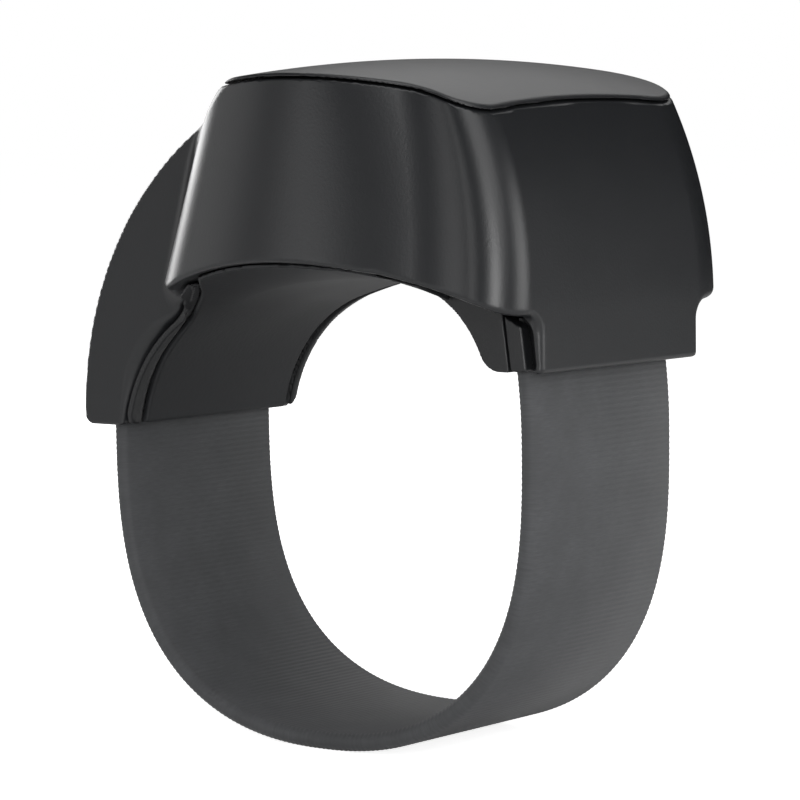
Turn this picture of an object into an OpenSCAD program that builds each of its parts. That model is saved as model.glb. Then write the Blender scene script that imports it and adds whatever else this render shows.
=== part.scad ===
// Finger-ring motion controller: a moulded housing over the finger and a woven strap under it.
// X runs across the finger, Y along it (the nose points to -Y), Z up.
// The origin is on the finger's axis, at mid strap width and at the level where the loop is widest.

/* [Strap] */
// Width of the woven elastic strap
strap_w = 10.5; // [8:0.5:10.5]
// Thickness of the strap
strap_t = 0.8; // [0.6:0.05:0.9]
// Outer width of the strap's loop at its widest level
loop_w = 24; // [23:0.25:26]
// Drop of the loop below its widest level
loop_drop = 14.2; // [12:0.2:17]
// Power that squares the loop's sides, 1 for a plain ellipse
loop_side = 0.87; // [0.8:0.01:1]
// Power that squares the loop's bottom, 1 for a plain ellipse
loop_floor = 0.69; // [0.65:0.01:1]
// Radius of the steel pin in the strap's left eye
pin_r = 0.5; // [0.4:0.05:0.55]
// Height of the eye above the widest level
eye_z = 5.8; // [5.6:0.1:6.4]
// Height of the strap's plain right end
strap_top = 5.3; // [5.0:0.1:5.6]
// Lean of the right end towards the finger, per square of its height
strap_lean = 0.02; // [0.01:0.005:0.03]

/* [Legs] */
// Width of both legs along the finger
leg_w = 12; // [11.5:0.1:13]
// Skin of the legs outside the strap
skin = 0.95; // [0.8:0.05:1.2]
// Level of the left leg's end
left_end = -0.2; // [-0.6:0.1:0.2]
// Level of the right leg's end
right_end = 3.0; // [2.6:0.1:3.4]
// Radius of the left wing's outline
wing_r = 15.3; // [14.8:0.1:16]
// Height of that outline's centre
wing_z = 0.3; // [0:0.1:0.6]

/* [Finger opening] */
// Radius of the opening's left shoulder
left_r = 7; // [6.6:0.1:7.3]
// Height of that shoulder's centre
left_z = -1.4; // [-1.6:0.1:-1.2]
// Cover between the strap and the opening on the left
left_cover = 0.8; // [0.75:0.05:0.95]
// Radius of the opening's right shoulder
right_r = 5; // [4.7:0.1:5.2]
// Height of that shoulder's centre
right_z = 1.75; // [1.5:0.05:1.9]
// Cover between the strap and the opening on the right
right_cover = 1.05; // [0.95:0.05:1.2]
// Radius of the opening's crown between the shoulders
crown_r = 30; // [26:1:40]

/* [Pod] */
// Wall of the outer shell
wall = 1.2; // [1:0.05:1.3]
// Level at which the pod's plan is drawn
plan_z = 10; // [9.5:0.1:10.5]
// Middle of the pod's taper
pod_mid = 3; // [2.5:0.1:3.5]
// Reach of the left wall from that middle
left_reach = 9; // [8.8:0.1:9.4]
// Taper of the left wall, share of its reach per millimetre of height
left_taper = 0.028; // [0.02:0.002:0.032]
// Taper of the front wall, share of its reach per millimetre of height
front_taper = 0.016; // [0.01:0.002:0.02]
// Reach of the front wall beside its right corner
front_reach = 8; // [7.8:0.1:8.4]
// Reach of the flat back wall
back_reach = 10.4; // [10:0.1:10.8]
// Radius of the right front corner
corner_r = 1.8; // [1.5:0.1:2]
// Radius of the hollow beside that corner
hollow_r = 5; // [4:0.5:7]
// Angle at which the hollow meets the nose
hollow_turn = 28; // [20:1:30]
// Radius of the nose
nose_r = 14; // [13:0.5:15]
// Angle at which the nose meets its left corner
nose_turn = 18; // [16:1:20]
// Radius of the nose's left corner
nose_corner_r = 4.5; // [4:0.1:5]
// Angle of the slanted wall left of the nose
slant = 47; // [44:1:50]
// Radius of the pod's left and back corners
side_corner_r = 2.2; // [1.8:0.1:2.4]
// Radius of the right back corner
back_corner_r = 4.5; // [4:0.1:5]
// Radius of the right face's bulge
face_r = 17.6; // [16.5:0.1:19]
// Level below which the right face is upright
face_z = 5.5; // [5.2:0.1:5.8]
// Height of the arched lower edge
arch_z = 7.65; // [7.5:0.05:7.8]
// Radius of that arch
arch_r = 21; // [20.5:0.5:22]
// Middle of that arch
arch_x = 2.5; // [2.1:0.1:2.9]
// Left end of that arch
arch_left = 7; // [6.8:0.1:7.2]

/* [Click cap] */
// Height of the dome's crest
dome_z = 16.3; // [16.1:0.1:16.8]
// Middle of the dome across the finger
dome_x = 1.8; // [1.6:0.1:2.2]
// Middle of the dome along the finger
dome_y = 1.8; // [1.4:0.1:2.2]
// Crown radius of the dome across the finger
crown_x_r = 22.6; // [21:0.1:24]
// Crown radius of the dome along the finger
crown_y_r = 98; // [85:1:110]
// Thickness of the cap's rim, which covers the wall
lip_t = 0.2; // [0.2:0.05:0.35]
// Thickness of the cap inside the wall
cap_t = 1.1; // [1:0.05:1.2]
// Gap between the rim and the wall, which the click closes
click_gap = 0.12; // [0.12:0.02:0.2]
// Radius of the cap's guide posts
post_r = 0.6; // [0.5:0.05:0.7]

/* [Inside] */
// Depth of the shell's inner deck under the dome's crest
deck_drop = 3.1; // [3:0.05:3.2]
// Thickness of that deck
deck_t = 0.7; // [0.6:0.05:0.75]
// Thickness of the circuit board
board_t = 0.6; // [0.5:0.05:0.7]
// Gap between the board and the deck
board_drop = 0.7; // [0.65:0.05:0.75]
// Battery size across the finger
battery_w = 9.6; // [8:0.1:9.6]
// Battery size along the finger
battery_l = 7.6; // [7:0.1:7.6]
// Level of the battery's underside
battery_z = 8.35; // [8.3:0.05:8.4]
// Radius of the vibration motor
motor_r = 3; // [2.6:0.1:3]
// Height of the vibration motor
motor_h = 2; // [1.8:0.1:2]
// Thickness of the soft finger pad
pad_t = 0.5; // [0.4:0.05:0.55]
// Radius of the case screws
screw_r = 0.6; // [0.5:0.05:0.6]

/* [Hidden] */

// Finenesses: round pieces, wide arcs, the opening's crown and the dome
$fn = 48;
wide_fn = 120;
crown_fn = 240;
dome_fn = 240;
// Clearances: a running fit, and the seam that shows between two covers
clear = 0.05;
seam = 0.12;
// A little overlap for cuts, and a size larger than the object
eps = 0.02;
big = 60;

// Outlines of the legs and of the finger opening, in the plane across the finger
half = loop_w / 2;
wing_c = [wing_r - half - skin - clear, wing_z];
strap_arc_r = half + wing_c[0];
face_x = half + skin;
left_c = [left_r + left_cover + strap_t - half, left_z];
right_c = [half - strap_t - right_cover - right_r, right_z];
span = norm(right_c - left_c);
span_dir = (right_c - left_c) / span;
crown_along = (pow(crown_r - left_r, 2) - pow(crown_r - right_r, 2) + span * span) / (2 * span);
crown_down = sqrt(pow(crown_r - left_r, 2) - crown_along * crown_along);
crown_c = left_c + crown_along * span_dir + crown_down * [span_dir[1], -span_dir[0]];
// Rim of the inner cover beside the opening, and the cover's edge in the right leg
rim_t = 0.45;
rim_right = face_x - 0.6;
// Inside of the shell's cheeks, which hold the strap between them
cheek_in = strap_w / 2 + clear;
// Levels of the pod's lowest edge, the deck and the board
pod_low = face_z - 0.1;
deck_top = dome_z - deck_drop;
deck_low = deck_top - deck_t;
board_top = deck_low - board_drop;
board_low = board_top - board_t;
back_in = back_reach - wall;

// Plan of the pod: arcs that run from the left side past the nose to the right face and the back
left_x = pod_mid - left_reach;
plan_face = face_at(plan_z);
corner_c = [plan_face - corner_r, corner_r - front_reach];
hollow_c = [corner_c[0], -front_reach - hollow_r];
hollow_end = hollow_c - hollow_r * heading(hollow_turn);
nose_c = hollow_end - nose_r * heading(hollow_turn);
nose_corner_c = nose_c + (nose_r - nose_corner_r) * heading(-nose_turn);
slant_start = nose_corner_c + nose_corner_r * heading(-slant);
side_c_x = left_x + side_corner_r;
slant_dir = heading(-slant);
side_c_y = (slant_start * slant_dir - side_corner_r - side_c_x * slant_dir[0]) / slant_dir[1];

// Places of the fasteners, posts and parts inside, from above
case_screw_at = [[-0.8, -7.1], [7, -6.1]];
hook_at = [0.4, 5.6];
board_screw_in = 2.2;
board_screw_left = pod_point([left_x, 0], board_low)[0] + board_screw_in;
board_screw_right = face_at(board_low) - board_screw_in;
board_screw_at = [[board_screw_left, -4.2], [board_screw_right, -5], [3.2, 3.9]];
post_at = [[-2.2, 1.8], [7.2, 1.4], [3.4, -4.7]];
contact_at = [0.4, 3.4];
magnet_at = [-2.4, 6.2];
contact_z = board_low + board_t / 2;
switch_c = [3, -0.6];
motor_c = [8.1, -0.6];
flex_c = [-2.7, -1.2];
radio_c = [-0.4, -3.6];
sensor_c = [6.4, -1.7];
charger_c = [0, 0.9];
crystal_c = [0.2, 3.2];
antenna_c = [9.3, -1.3];
battery_c = [0.1, -1.2];

// Plate of the inner cover under the pod: thickness, and how far it stands below the shell's edge
plate_t = 0.65;
plate_drop = 0.2;
// Hooks of the cover in the shell's back wall: half width, level, height and depth
hook_w = 1.2;
hook_z = 7.5;
hook_h = 0.6;
hook_in = 0.5;
// Ramp of the opening under the pod: where it ends, its level there, its angle and its right end
flare_y = 7.2;
flare_z = arch_z;
flare_angle = 25;
flare_right = right_c[0] + 3;
// Case screws: seat of the heads, top of the cover's bosses, head and boss radii, tip
screw_seat = 8;
screw_joint = 8.8;
screw_head_r = screw_r + 0.4;
screw_head_h = 0.5;
screw_tip = deck_low - 1.3;
boss_r = screw_r + 1.3;
cover_boss_r = screw_head_r + 0.4;
// Board screws: shank and head
board_screw_r = 0.45;
board_head_r = 0.85;
board_head_h = 0.35;
standoff_r = 1;
// Click switch: body side, height above the board, plunger radius, and depth of its bore
switch_w = 3.6;
switch_h = 1.6;
plunger_r = 0.8;
plunger_bore = 0.8;
plunger_in = 0.5;
plunger_out = 0.7;
plunger_top = board_top + switch_h + plunger_out;
// Cap posts: base, its depth under the dome's crest, clip and lower end
base_r = 1.2;
base_drop = 2.3;
base_z = dome_z - base_drop;
clip_t = 0.25;
clip_r = 1.1;
post_end = deck_low - clip_t - 0.1;
// Touch film and its tail
film_t = 0.15;
flex_t = 0.12;
flex_w = 3;
connector_h = 0.5;
flex_end = [1.2, flex_w + 0.4];
film_edge = 0.8;
slot_gap = 0.5;
// Parts on the board: height and plan sizes, and the board's gap to the wall
chip_h = 0.45;
radio_size = [2.8, 2.8];
sensor_size = [2.5, 3];
charger_size = [2, 2];
crystal_size = [2, 1.6];
antenna_size = [1.2, 2.4];
board_gap = 0.3;
// Right leg's inner half: outer edge, top, studs
cover_edge = half - strap_t + 0.1;
cover_top = 4.9;
stud_r = 0.45;
stud_z = 4;
stud_y = 2.6;
stud_tip = half + 0.3;
// Charging contacts, which end at the board's back edge, and magnets
contact_r = 0.8;
contact_flange_r = 0.95;
contact_flange_t = 0.4;
contact_sink = 0.05;
contact_tail_r = 0.3;
tail_l = 0.6;
board_back = back_in - contact_flange_t - tail_l;
magnet_r = 1.2;
magnet_t = 1;
magnet_z = hook_z + hook_h + magnet_r + 0.2;
// Battery: thickness up to the heads of the board screws, edge left free round the foam, and tabs
battery_gap = 0.1;
battery_t = board_low - board_head_h - battery_gap - battery_z;
foam_edge = 0.4;
tab_at = [2.2, 4.2];
tab_w = 1;
// Vibration motor: skins, shaft and weight
motor_skin = 0.25;
shaft_r = 0.35;
weight_h = 1.1;
motor_z = 7.5;

// Unit vector of a wall's outward heading, 0 towards the front and 90 towards the right face
function heading(a) = [sin(a), -cos(a)];

// The right face bulges: its place at a level
function face_at(z) = z < face_z ? face_x : face_x - face_r + sqrt(face_r * face_r - pow(z - face_z, 2));

// Points of an arc between two headings, without its first one where arcs meet
function arc(c, r, from, to, steps, first = 0) =
    [for (i = [first:steps]) c + r * heading(from + (to - from) * i / steps)];

// A corner's radius on a wall's inner side
function inner_r(r, inset) = max(r - inset, 0.1);

// The pod's plan at the plan level, moved in by an inset
function pod_plan(inset) = concat(
    arc([side_c_x, side_c_y], inner_r(side_corner_r, inset), -90, -slant, 3),
    arc(nose_corner_c, inner_r(nose_corner_r, inset), -slant, -nose_turn, 5),
    arc(nose_c, nose_r - inset, -nose_turn, hollow_turn, 7, 1),
    arc(hollow_c, -hollow_r - inset, hollow_turn, 0, 4, 1),
    arc(corner_at(corner_c, corner_r, inset, -1), inner_r(corner_r, inset), 0, 90, 5, 1),
    arc(corner_at([plan_face - back_corner_r, back_reach + clear - back_corner_r], back_corner_r, inset, 1),
        inner_r(back_corner_r, inset), 90, 180, 8),
    arc([side_c_x, back_reach + clear - side_corner_r], inner_r(side_corner_r, inset), 180, 270, 4));

// A right-hand corner's centre, moved in where the inset is larger than its radius
function corner_at(c, r, inset, side) = c - max(inset + 0.1 - r, 0) * [1, side];

// Taper of the plan with height
function pod_point(p, z) = [
    pod_mid + (p[0] - pod_mid)
        * (p[0] > pod_mid ? (face_at(z) - pod_mid) / (plan_face - pod_mid) : 1 - left_taper * (z - plan_z)),
    p[1] * (p[1] < 0 ? 1 - front_taper * (z - plan_z) : 1),
    z];

// A solid through a list of sections with the same number of points
module loft(sections) {
    count = len(sections[0]);
    last = len(sections) - 1;
    sides = [for (k = [0:last - 1], i = [0:count - 1])
        let (j = (i + 1) % count, a = k * count)
        each [[a + i, a + count + i, a + count + j], [a + i, a + count + j, a + j]]];
    polyhedron(
        points = [for (s = sections) each s],
        faces = concat([[for (i = [0:count - 1]) i]],
            [[for (i = [count - 1:-1:0]) last * count + i]], sides));
}

// The pod between two levels, moved in by an inset, with its flat back
module pod(inset, low, high, steps) {
    difference() {
        loft([for (k = [0:steps]) let (z = low + (high - low) * k / steps)
            [for (p = pod_plan(inset)) pod_point(p, z)]]);
        translate([-big, back_reach - inset, -big]) cube(2 * big);
    }
}

// The space under the dome's surface, lowered by a depth
module dome(depth) {
    r = crown_x_r - depth;
    ring = crown_y_r - crown_x_r;
    translate([dome_x, dome_y, dome_z - crown_y_r]) rotate([0, 90, 0]) rotate_extrude($fn = dome_fn) {
        translate([ring, 0]) circle(r, $fn = dome_fn);
        translate([0, -r]) square([ring, 2 * r]);
    }
}

// An outline drawn across the finger, made a slab of a width along it
module along_y(w, y = 0) {
    translate([0, y + w / 2, 0]) rotate([90, 0, 0]) linear_extrude(w) children();
}

// A box from its lowest and highest corner
module box(low, high) {
    translate(low) cube(high - low);
}

// The finger opening between the legs, widened by grow
module opening_2d(grow = 0) {
    translate(left_c) circle(left_r + grow, $fn = wide_fn);
    translate(right_c) circle(right_r + grow, $fn = wide_fn);
    intersection() {
        translate(crown_c) circle(crown_r + grow, $fn = crown_fn);
        polygon([crown_c, crown_c + 2 * (left_c - crown_c), crown_c + 2 * (right_c - crown_c)]);
    }
    polygon([
        left_c,
        right_c,
        right_c + [right_r + grow, 0],
        [right_c[0] + right_r + grow, -big],
        [left_c[0] - left_r - grow, -big],
        left_c - [left_r + grow, 0]]);
}

// The arch of the shell's lower edge, widened by grow
module arch_2d(grow) {
    translate([arch_x, arch_z - arch_r]) circle(arch_r + grow, $fn = crown_fn);
}

// What lies under the shell's lower edge: the rim beside the opening and the arch under the pod
module under_shell_2d(gap = 0) {
    opening_2d(rim_t - gap);
    intersection() {
        arch_2d(-gap);
        translate([gap - arch_left, left_end]) square([rim_right + arch_left - 2 * gap, big]);
    }
    translate([right_c[0], right_end - eps]) square([rim_right - gap - right_c[0], arch_z / 4]);
}

// The space above both legs' ends
module above_ends_2d() {
    translate([-big, left_end]) square([big, big]);
    translate([-eps, right_end]) square([big, big]);
}

// Outline of the wing and the legs
module legs_2d() {
    intersection() {
        union() {
            intersection() {
                translate(wing_c) circle(wing_r, $fn = wide_fn);
                translate([-big, -big]) square([big + dome_x, 2 * big]);
            }
            translate([0, right_end]) square([face_x - eps, face_z - right_end]);
        }
        above_ends_2d();
    }
}

// Outer line of the strap: up the left leg, round the loop and up the right leg
function left_line(z) = let (a = asin((z - wing_z) / strap_arc_r)) wing_c + strap_arc_r * [-cos(a), sin(a)];
function loop_point(t) = let (a = 90 * pow(1 - abs(t), 1.45))
    [sign(t) * half * pow(cos(a), loop_side), -loop_drop * pow(sin(a), loop_floor)];
function right_line(z) = [half - strap_lean * z * z, z];
leg_steps = 7;
loop_steps = 18;
strap_line = concat(
    [for (i = [0:leg_steps - 1]) left_line(eye_z * (1 - i / leg_steps))],
    [for (i = [-loop_steps:loop_steps]) loop_point(i / loop_steps)],
    [for (i = [1:leg_steps]) right_line(strap_top * i / leg_steps)]);
strap_last = len(strap_line) - 1;
function strap_side(i) =
    let (d = strap_line[min(i + 1, strap_last)] - strap_line[max(i - 1, 0)]) [-d[1], d[0]] / norm(d);
function strap_offset(o) = [for (i = [0:strap_last]) strap_line[i] + o * strap_side(i)];
function reversed(list) = [for (i = [len(list) - 1:-1:0]) list[i]];
eye_c = strap_line[0] + (strap_t + pin_r) * strap_side(0);

// The strap seen along the finger, with its eye, widened by grow
module strap_2d(grow = 0) {
    polygon(concat(strap_offset(-grow), reversed(strap_offset(strap_t + grow))));
    translate(eye_c) circle(strap_t + pin_r + grow);
}

module outer_shell() {
    color("#1b1c1e") difference() {
        union() {
            difference() {
                union() {
                    difference() {
                        union() {
                            along_y(leg_w) legs_2d();
                            pod(0, pod_low, dome_z + 1, 7);
                        }
                        pod(wall, right_end - 1, deck_low, 5);
                        pod(wall, deck_top, dome_z + 2, 3);
                        wing_hollow();
                    }
                    shell_bosses();
                }
                along_y(big) under_shell_2d();
            }
            right_tongue();
        }
        difference() {
            translate([-big, -big, deck_top]) cube(2 * big);
            dome(lip_t + click_gap);
        }
        along_y(2 * cheek_in) strap_2d(clear);
        rotate([90, 0, 0]) translate([eye_c[0], eye_c[1], -strap_w / 2 - wall / 2])
            cylinder(h = strap_w + wall, r = pin_r + clear);
        deck_cuts();
        cover_hooks(clear);
        for (y = [-stud_y, stud_y]) translate([half - strap_t, y, stud_z]) rotate([0, 90, 0])
            cylinder(h = stud_tip + clear - half + strap_t, r = stud_r + clear);
        for (x = contact_at) translate([x, back_in - eps, contact_z]) rotate([-90, 0, 0])
            cylinder(h = wall + 1, r = contact_r + clear);
    }
}

// Room in the wing for the strap's left end
module wing_hollow() {
    along_y(2 * cheek_in) intersection() {
        translate(wing_c) circle(wing_r - skin, $fn = wide_fn);
        translate([-big, left_end - 1])
            square([big + left_x + wall + side_corner_r, deck_low - left_end + 1]);
    }
}

// Bosses for the case screws and standoffs for the board, under the deck
module shell_bosses() {
    for (p = case_screw_at) translate([p[0], p[1], screw_joint])
        cylinder(h = deck_low + eps - screw_joint, r = boss_r);
    for (p = board_screw_at) translate([p[0], p[1], board_top])
        cylinder(h = deck_low + eps - board_top, r = standoff_r);
}

// The right leg's wall behind the strap, between the inner cover's cheeks
module right_tongue() {
    box([half - strap_t, -cheek_in + clear, right_end], [face_x - eps, cheek_in - clear, arch_z - wall]);
}

// Bores and openings in the deck and its bosses
module deck_cuts() {
    for (p = case_screw_at) translate([p[0], p[1], screw_joint - eps])
        cylinder(h = screw_tip + wall / 2 - screw_joint, r = screw_r + clear);
    for (p = board_screw_at) translate([p[0], p[1], board_top - eps])
        cylinder(h = deck_top - wall / 4 - board_top, r = board_screw_r + clear);
    for (p = post_at) translate([p[0], p[1], deck_low - 1]) cylinder(h = deck_t + 2, r = post_r + clear);
    slot_h = 2 * deck_t + 1;
    translate([switch_c[0], switch_c[1], deck_top])
        cube([switch_w + slot_gap, switch_w + slot_gap, slot_h], center = true);
    translate([flex_c[0], flex_c[1], deck_top])
        cube([flex_t + slot_gap, flex_w + slot_gap, slot_h], center = true);
}

module inner_cover() {
    color("#222325") difference() {
        union() {
            difference() {
                union() {
                    along_y(leg_w) intersection() {
                        under_shell_2d(seam);
                        above_ends_2d();
                    }
                    cover_ramps();
                }
                for (side = [-1, 1]) flare(side);
            }
            cover_plate();
            cover_tongue();
            cover_hooks(0);
            translate([motor_c[0], motor_c[1], right_end]) cylinder(h = motor_z - right_end, r = motor_r);
        }
        translate([motor_c[0], motor_c[1], motor_z]) cylinder(h = big, r = motor_r + clear);
        box([half - strap_t, -cheek_in, right_end - 1], [big, cheek_in, arch_z]);
        along_y(big) opening_2d();
        finger_pad_space(seam);
        along_y(2 * cheek_in) strap_2d(clear);
        strap_cover_space(clear);
        for (p = case_screw_at) {
            translate([p[0], p[1], 0]) cylinder(h = screw_joint + 1, r = screw_r + clear);
            translate([p[0], p[1], 0]) cylinder(h = screw_seat, r = screw_head_r + clear);
        }
    }
}

// The cover's thin plate, which closes the pod at its lower edge, with the bosses of the case screws
module cover_plate() {
    difference() {
        union() {
            intersection() {
                along_y(big) arch_2d(plate_t - plate_drop);
                pod(wall + seam, right_end, arch_z + 1, 3);
            }
            for (p = case_screw_at) translate([p[0], p[1], pod_low])
                cylinder(h = screw_joint - pod_low, r = cover_boss_r);
        }
        along_y(big) arch_2d(-plate_drop);
    }
}

// The cover under the pod's overhangs, inside the shell's wall
module cover_ramps() {
    intersection() {
        along_y(2 * flare_y) intersection() {
            arch_2d(0);
            translate([-arch_left, right_end]) square([arch_left + flare_right, big]);
        }
        pod(wall + seam, right_end, arch_z + 1, 3);
    }
}

// Hooks that hold the cover's back edge in the shell, widened by a gap
module cover_hooks(gap) {
    for (x = hook_at)
        box([x - hook_w - gap, back_in - 2 * hook_in, hook_z - gap],
            [x + hook_w + gap, back_in + hook_in + gap, hook_z + hook_h + gap]);
}

// The ramp that widens the opening towards the front and the back
module flare(side) {
    intersection() {
        translate([arch_x, side * flare_y, flare_z]) rotate([side * flare_angle, 0, 0])
            translate([0, 0, -arch_r]) rotate([90, 0, 0])
            cylinder(h = 4 * flare_y, r = arch_r, center = true, $fn = wide_fn);
        box([-arch_left, side < 0 ? -big : 0, left_end - 1], [flare_right, side < 0 ? 0 : big, big]);
    }
}

// The cover's inner layer between the shell's cheeks, which backs the pad in the left leg
module cover_tongue() {
    along_y(2 * (cheek_in - clear)) intersection() {
        opening_2d(left_cover - clear);
        above_ends_2d();
        translate([-big, -big]) square([big, 2 * big]);
    }
}

// The liner's space on the opening's wall, with a gap all round it
module finger_pad_space(gap = 0) {
    difference() {
        along_y(strap_w + 2 * gap) intersection() {
            opening_2d(pad_t);
            above_ends_2d();
        }
        translate([right_c[0], -big, -big]) cube([big, 2 * big, big + cover_top + seam - gap]);
    }
}

module finger_pad() {
    color("#2a2b2d") difference() {
        finger_pad_space();
        along_y(big) opening_2d();
    }
}

// The right leg's inner half, which closes the strap's slot
module strap_cover_space(gap = 0) {
    along_y(leg_w + 2 * gap) translate([right_c[0], right_end - gap])
        square([cover_edge + gap - right_c[0], cover_top + 2 * gap - right_end]);
}

module strap_cover() {
    color("#242527") union() {
        difference() {
            strap_cover_space();
            along_y(big) opening_2d();
            along_y(2 * cheek_in) strap_2d(clear);
        }
        for (y = [-stud_y, stud_y]) translate([cover_edge - strap_t - wall / 2, y, stud_z]) rotate([0, 90, 0])
            cylinder(h = stud_tip - cover_edge + strap_t + wall / 2, r = stud_r);
    }
}

module elastic_strap() {
    color("#343538") difference() {
        along_y(strap_w) difference() {
            strap_2d();
            translate(eye_c) circle(pin_r + clear / 2);
        }
        for (y = [-stud_y, stud_y]) translate([0, y, stud_z]) rotate([0, 90, 0])
            cylinder(h = big, r = stud_r + clear);
    }
}

module strap_pin() {
    color("silver") rotate([90, 0, 0]) translate([eye_c[0], eye_c[1], clear - strap_w / 2 - wall / 2])
        cylinder(h = strap_w + wall - 2 * clear, r = pin_r);
}

module case_screws() {
    color("dimgray") for (p = case_screw_at) translate([p[0], p[1], 0]) difference() {
        union() {
            translate([0, 0, screw_seat - screw_head_h]) cylinder(h = screw_head_h, r = screw_head_r);
            translate([0, 0, screw_seat - eps]) cylinder(h = screw_tip - screw_seat, r = screw_r);
        }
        translate([0, 0, screw_seat - screw_head_h]) {
            cube([2 * screw_r, screw_r / 2, screw_head_h], center = true);
            cube([screw_r / 2, 2 * screw_r, screw_head_h], center = true);
        }
    }
}

module main_board() {
    color("#1d5b35") difference() {
        intersection() {
            pod(wall + board_gap, board_low, board_top, 1);
            box([-big, -big, board_low], [big, board_back, board_top]);
        }
        for (p = case_screw_at) translate([p[0], p[1], 0]) cylinder(h = big, r = boss_r + 2 * clear);
        for (p = board_screw_at) translate([p[0], p[1], 0]) cylinder(h = big, r = board_screw_r + clear);
    }
}

module board_screws() {
    color("silver") for (p = board_screw_at) translate([p[0], p[1], board_low]) {
        translate([0, 0, -board_head_h]) cylinder(h = board_head_h, r = board_head_r);
        translate([0, 0, -eps]) cylinder(h = deck_low - board_low, r = board_screw_r);
    }
}

// A part soldered on top of the board
module on_board(c, size, h) {
    translate([c[0] - size[0] / 2, c[1] - size[1] / 2, board_top]) cube([size[0], size[1], h]);
}

module radio_chip() {
    color("#151515") on_board(radio_c, radio_size, chip_h);
}

module motion_sensor() {
    color("#202020") on_board(sensor_c, sensor_size, chip_h);
}

module charger_chip() {
    color("#181818") on_board(charger_c, charger_size, chip_h);
}

module crystal() {
    color("silver") on_board(crystal_c, crystal_size, chip_h);
}

module antenna() {
    color("ivory") on_board(antenna_c, antenna_size, chip_h);
}

module click_switch() {
    color("#303030") difference() {
        on_board(switch_c, [switch_w, switch_w], switch_h);
        translate([switch_c[0], switch_c[1], board_top + switch_h - plunger_bore])
            cylinder(h = plunger_bore + 1, r = plunger_r + clear);
    }
}

module switch_plunger() {
    color("white") translate([switch_c[0], switch_c[1], board_top + switch_h - plunger_in])
        cylinder(h = plunger_in + plunger_out, r = plunger_r);
}

module click_cap() {
    color("#1b1c1e") {
        difference() {
            intersection() {
                pod(0, deck_top, dome_z + 1, 3);
                dome(0);
            }
            dome(lip_t);
        }
        difference() {
            intersection() {
                pod(wall + 2 * seam, deck_top, dome_z + 1, 3);
                dome(lip_t - eps);
            }
            dome(cap_t);
        }
        intersection() {
            dome(lip_t + eps);
            union() {
                for (p = post_at) {
                    translate([p[0], p[1], post_end]) cylinder(h = big, r = post_r);
                    translate([p[0], p[1], base_z]) cylinder(h = big, r = base_r);
                }
                translate([switch_c[0], switch_c[1], plunger_top + clear / 2]) cylinder(h = big, r = base_r);
            }
        }
    }
}

module touch_sensor() {
    color("#b5651d") difference() {
        intersection() {
            pod(wall + film_edge, deck_top, dome_z + 1, 1);
            dome(cap_t);
        }
        dome(cap_t + film_t);
        for (p = post_at) translate([p[0], p[1], 0]) cylinder(h = big, r = base_r + clear);
        translate([switch_c[0], switch_c[1], 0]) cylinder(h = big, r = base_r + clear);
    }
}

module touch_flex() {
    color("#c77f2e") intersection() {
        box([flex_c[0] - flex_t / 2, flex_c[1] - flex_w / 2, board_top + connector_h],
            [flex_c[0] + flex_t / 2, flex_c[1] + flex_w / 2, dome_z]);
        dome(cap_t + film_t);
    }
}

module flex_connector() {
    color("beige") on_board(flex_c, flex_end, connector_h);
}

module cap_clips() {
    color("silver") for (p = post_at) translate([p[0], p[1], deck_low - clear / 2 - clip_t]) difference() {
        cylinder(h = clip_t, r = clip_r);
        translate([0, 0, -1]) cylinder(h = clip_t + 2, r = post_r + clear / 2);
    }
}

module return_buffers() {
    color("#55585c") for (p = post_at) translate([p[0], p[1], deck_top]) difference() {
        cylinder(h = base_z - deck_top, r = base_r);
        translate([0, 0, -1]) cylinder(h = base_z, r = post_r + clear);
    }
}

module battery() {
    color("#c9ccd0") translate([battery_c[0] - battery_w / 2, battery_c[1] - battery_l / 2, battery_z])
        cube([battery_w, battery_l, battery_t]);
}

module battery_foam() {
    half_w = battery_w / 2 - foam_edge;
    half_l = battery_l / 2 - foam_edge;
    color("#3b3b3d") difference() {
        box([battery_c[0] - half_w, battery_c[1] - half_l, pod_low],
            [battery_c[0] + half_w, battery_c[1] + half_l, battery_z]);
        along_y(big) arch_2d(plate_t - plate_drop);
    }
}

module battery_tabs() {
    front = battery_c[1] - battery_l / 2;
    color("silver") for (x = tab_at)
        box([x - tab_w / 2, front - film_t, battery_z + battery_t / 2], [x + tab_w / 2, front, board_low]);
}

module motor_case() {
    color("silver") translate([motor_c[0], motor_c[1], motor_z]) {
        difference() {
            cylinder(h = motor_h - motor_skin, r = motor_r);
            translate([0, 0, motor_skin]) cylinder(h = motor_h, r = motor_r - motor_skin);
        }
        cylinder(h = motor_h - motor_skin, r = shaft_r);
    }
}

module motor_cover() {
    color("gainsboro") translate([motor_c[0], motor_c[1], motor_z + motor_h - motor_skin])
        cylinder(h = motor_skin, r = motor_r);
}

module motor_rotor() {
    weight_r = motor_r - motor_skin - 2 * seam;
    weight_z = motor_z + (motor_h - weight_h) / 2;
    color("#8a7a55") translate([motor_c[0], motor_c[1], weight_z]) difference() {
        union() {
            intersection() {
                cylinder(h = weight_h, r = weight_r);
                box([-weight_r, 0, 0], [weight_r, weight_r, weight_h]);
            }
            cylinder(h = weight_h, r = 2 * shaft_r);
        }
        translate([0, 0, -1]) cylinder(h = weight_h + 2, r = shaft_r + clear);
    }
}

module charge_contacts() {
    color("gold") for (x = contact_at) translate([x, 0, contact_z]) rotate([-90, 0, 0]) {
        translate([0, 0, back_in - contact_flange_t]) cylinder(h = contact_flange_t, r = contact_flange_r);
        translate([0, 0, back_in - eps]) cylinder(h = wall + eps - contact_sink, r = contact_r);
        translate([0, 0, board_back]) cylinder(h = tail_l + eps, r = contact_tail_r);
    }
}

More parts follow.
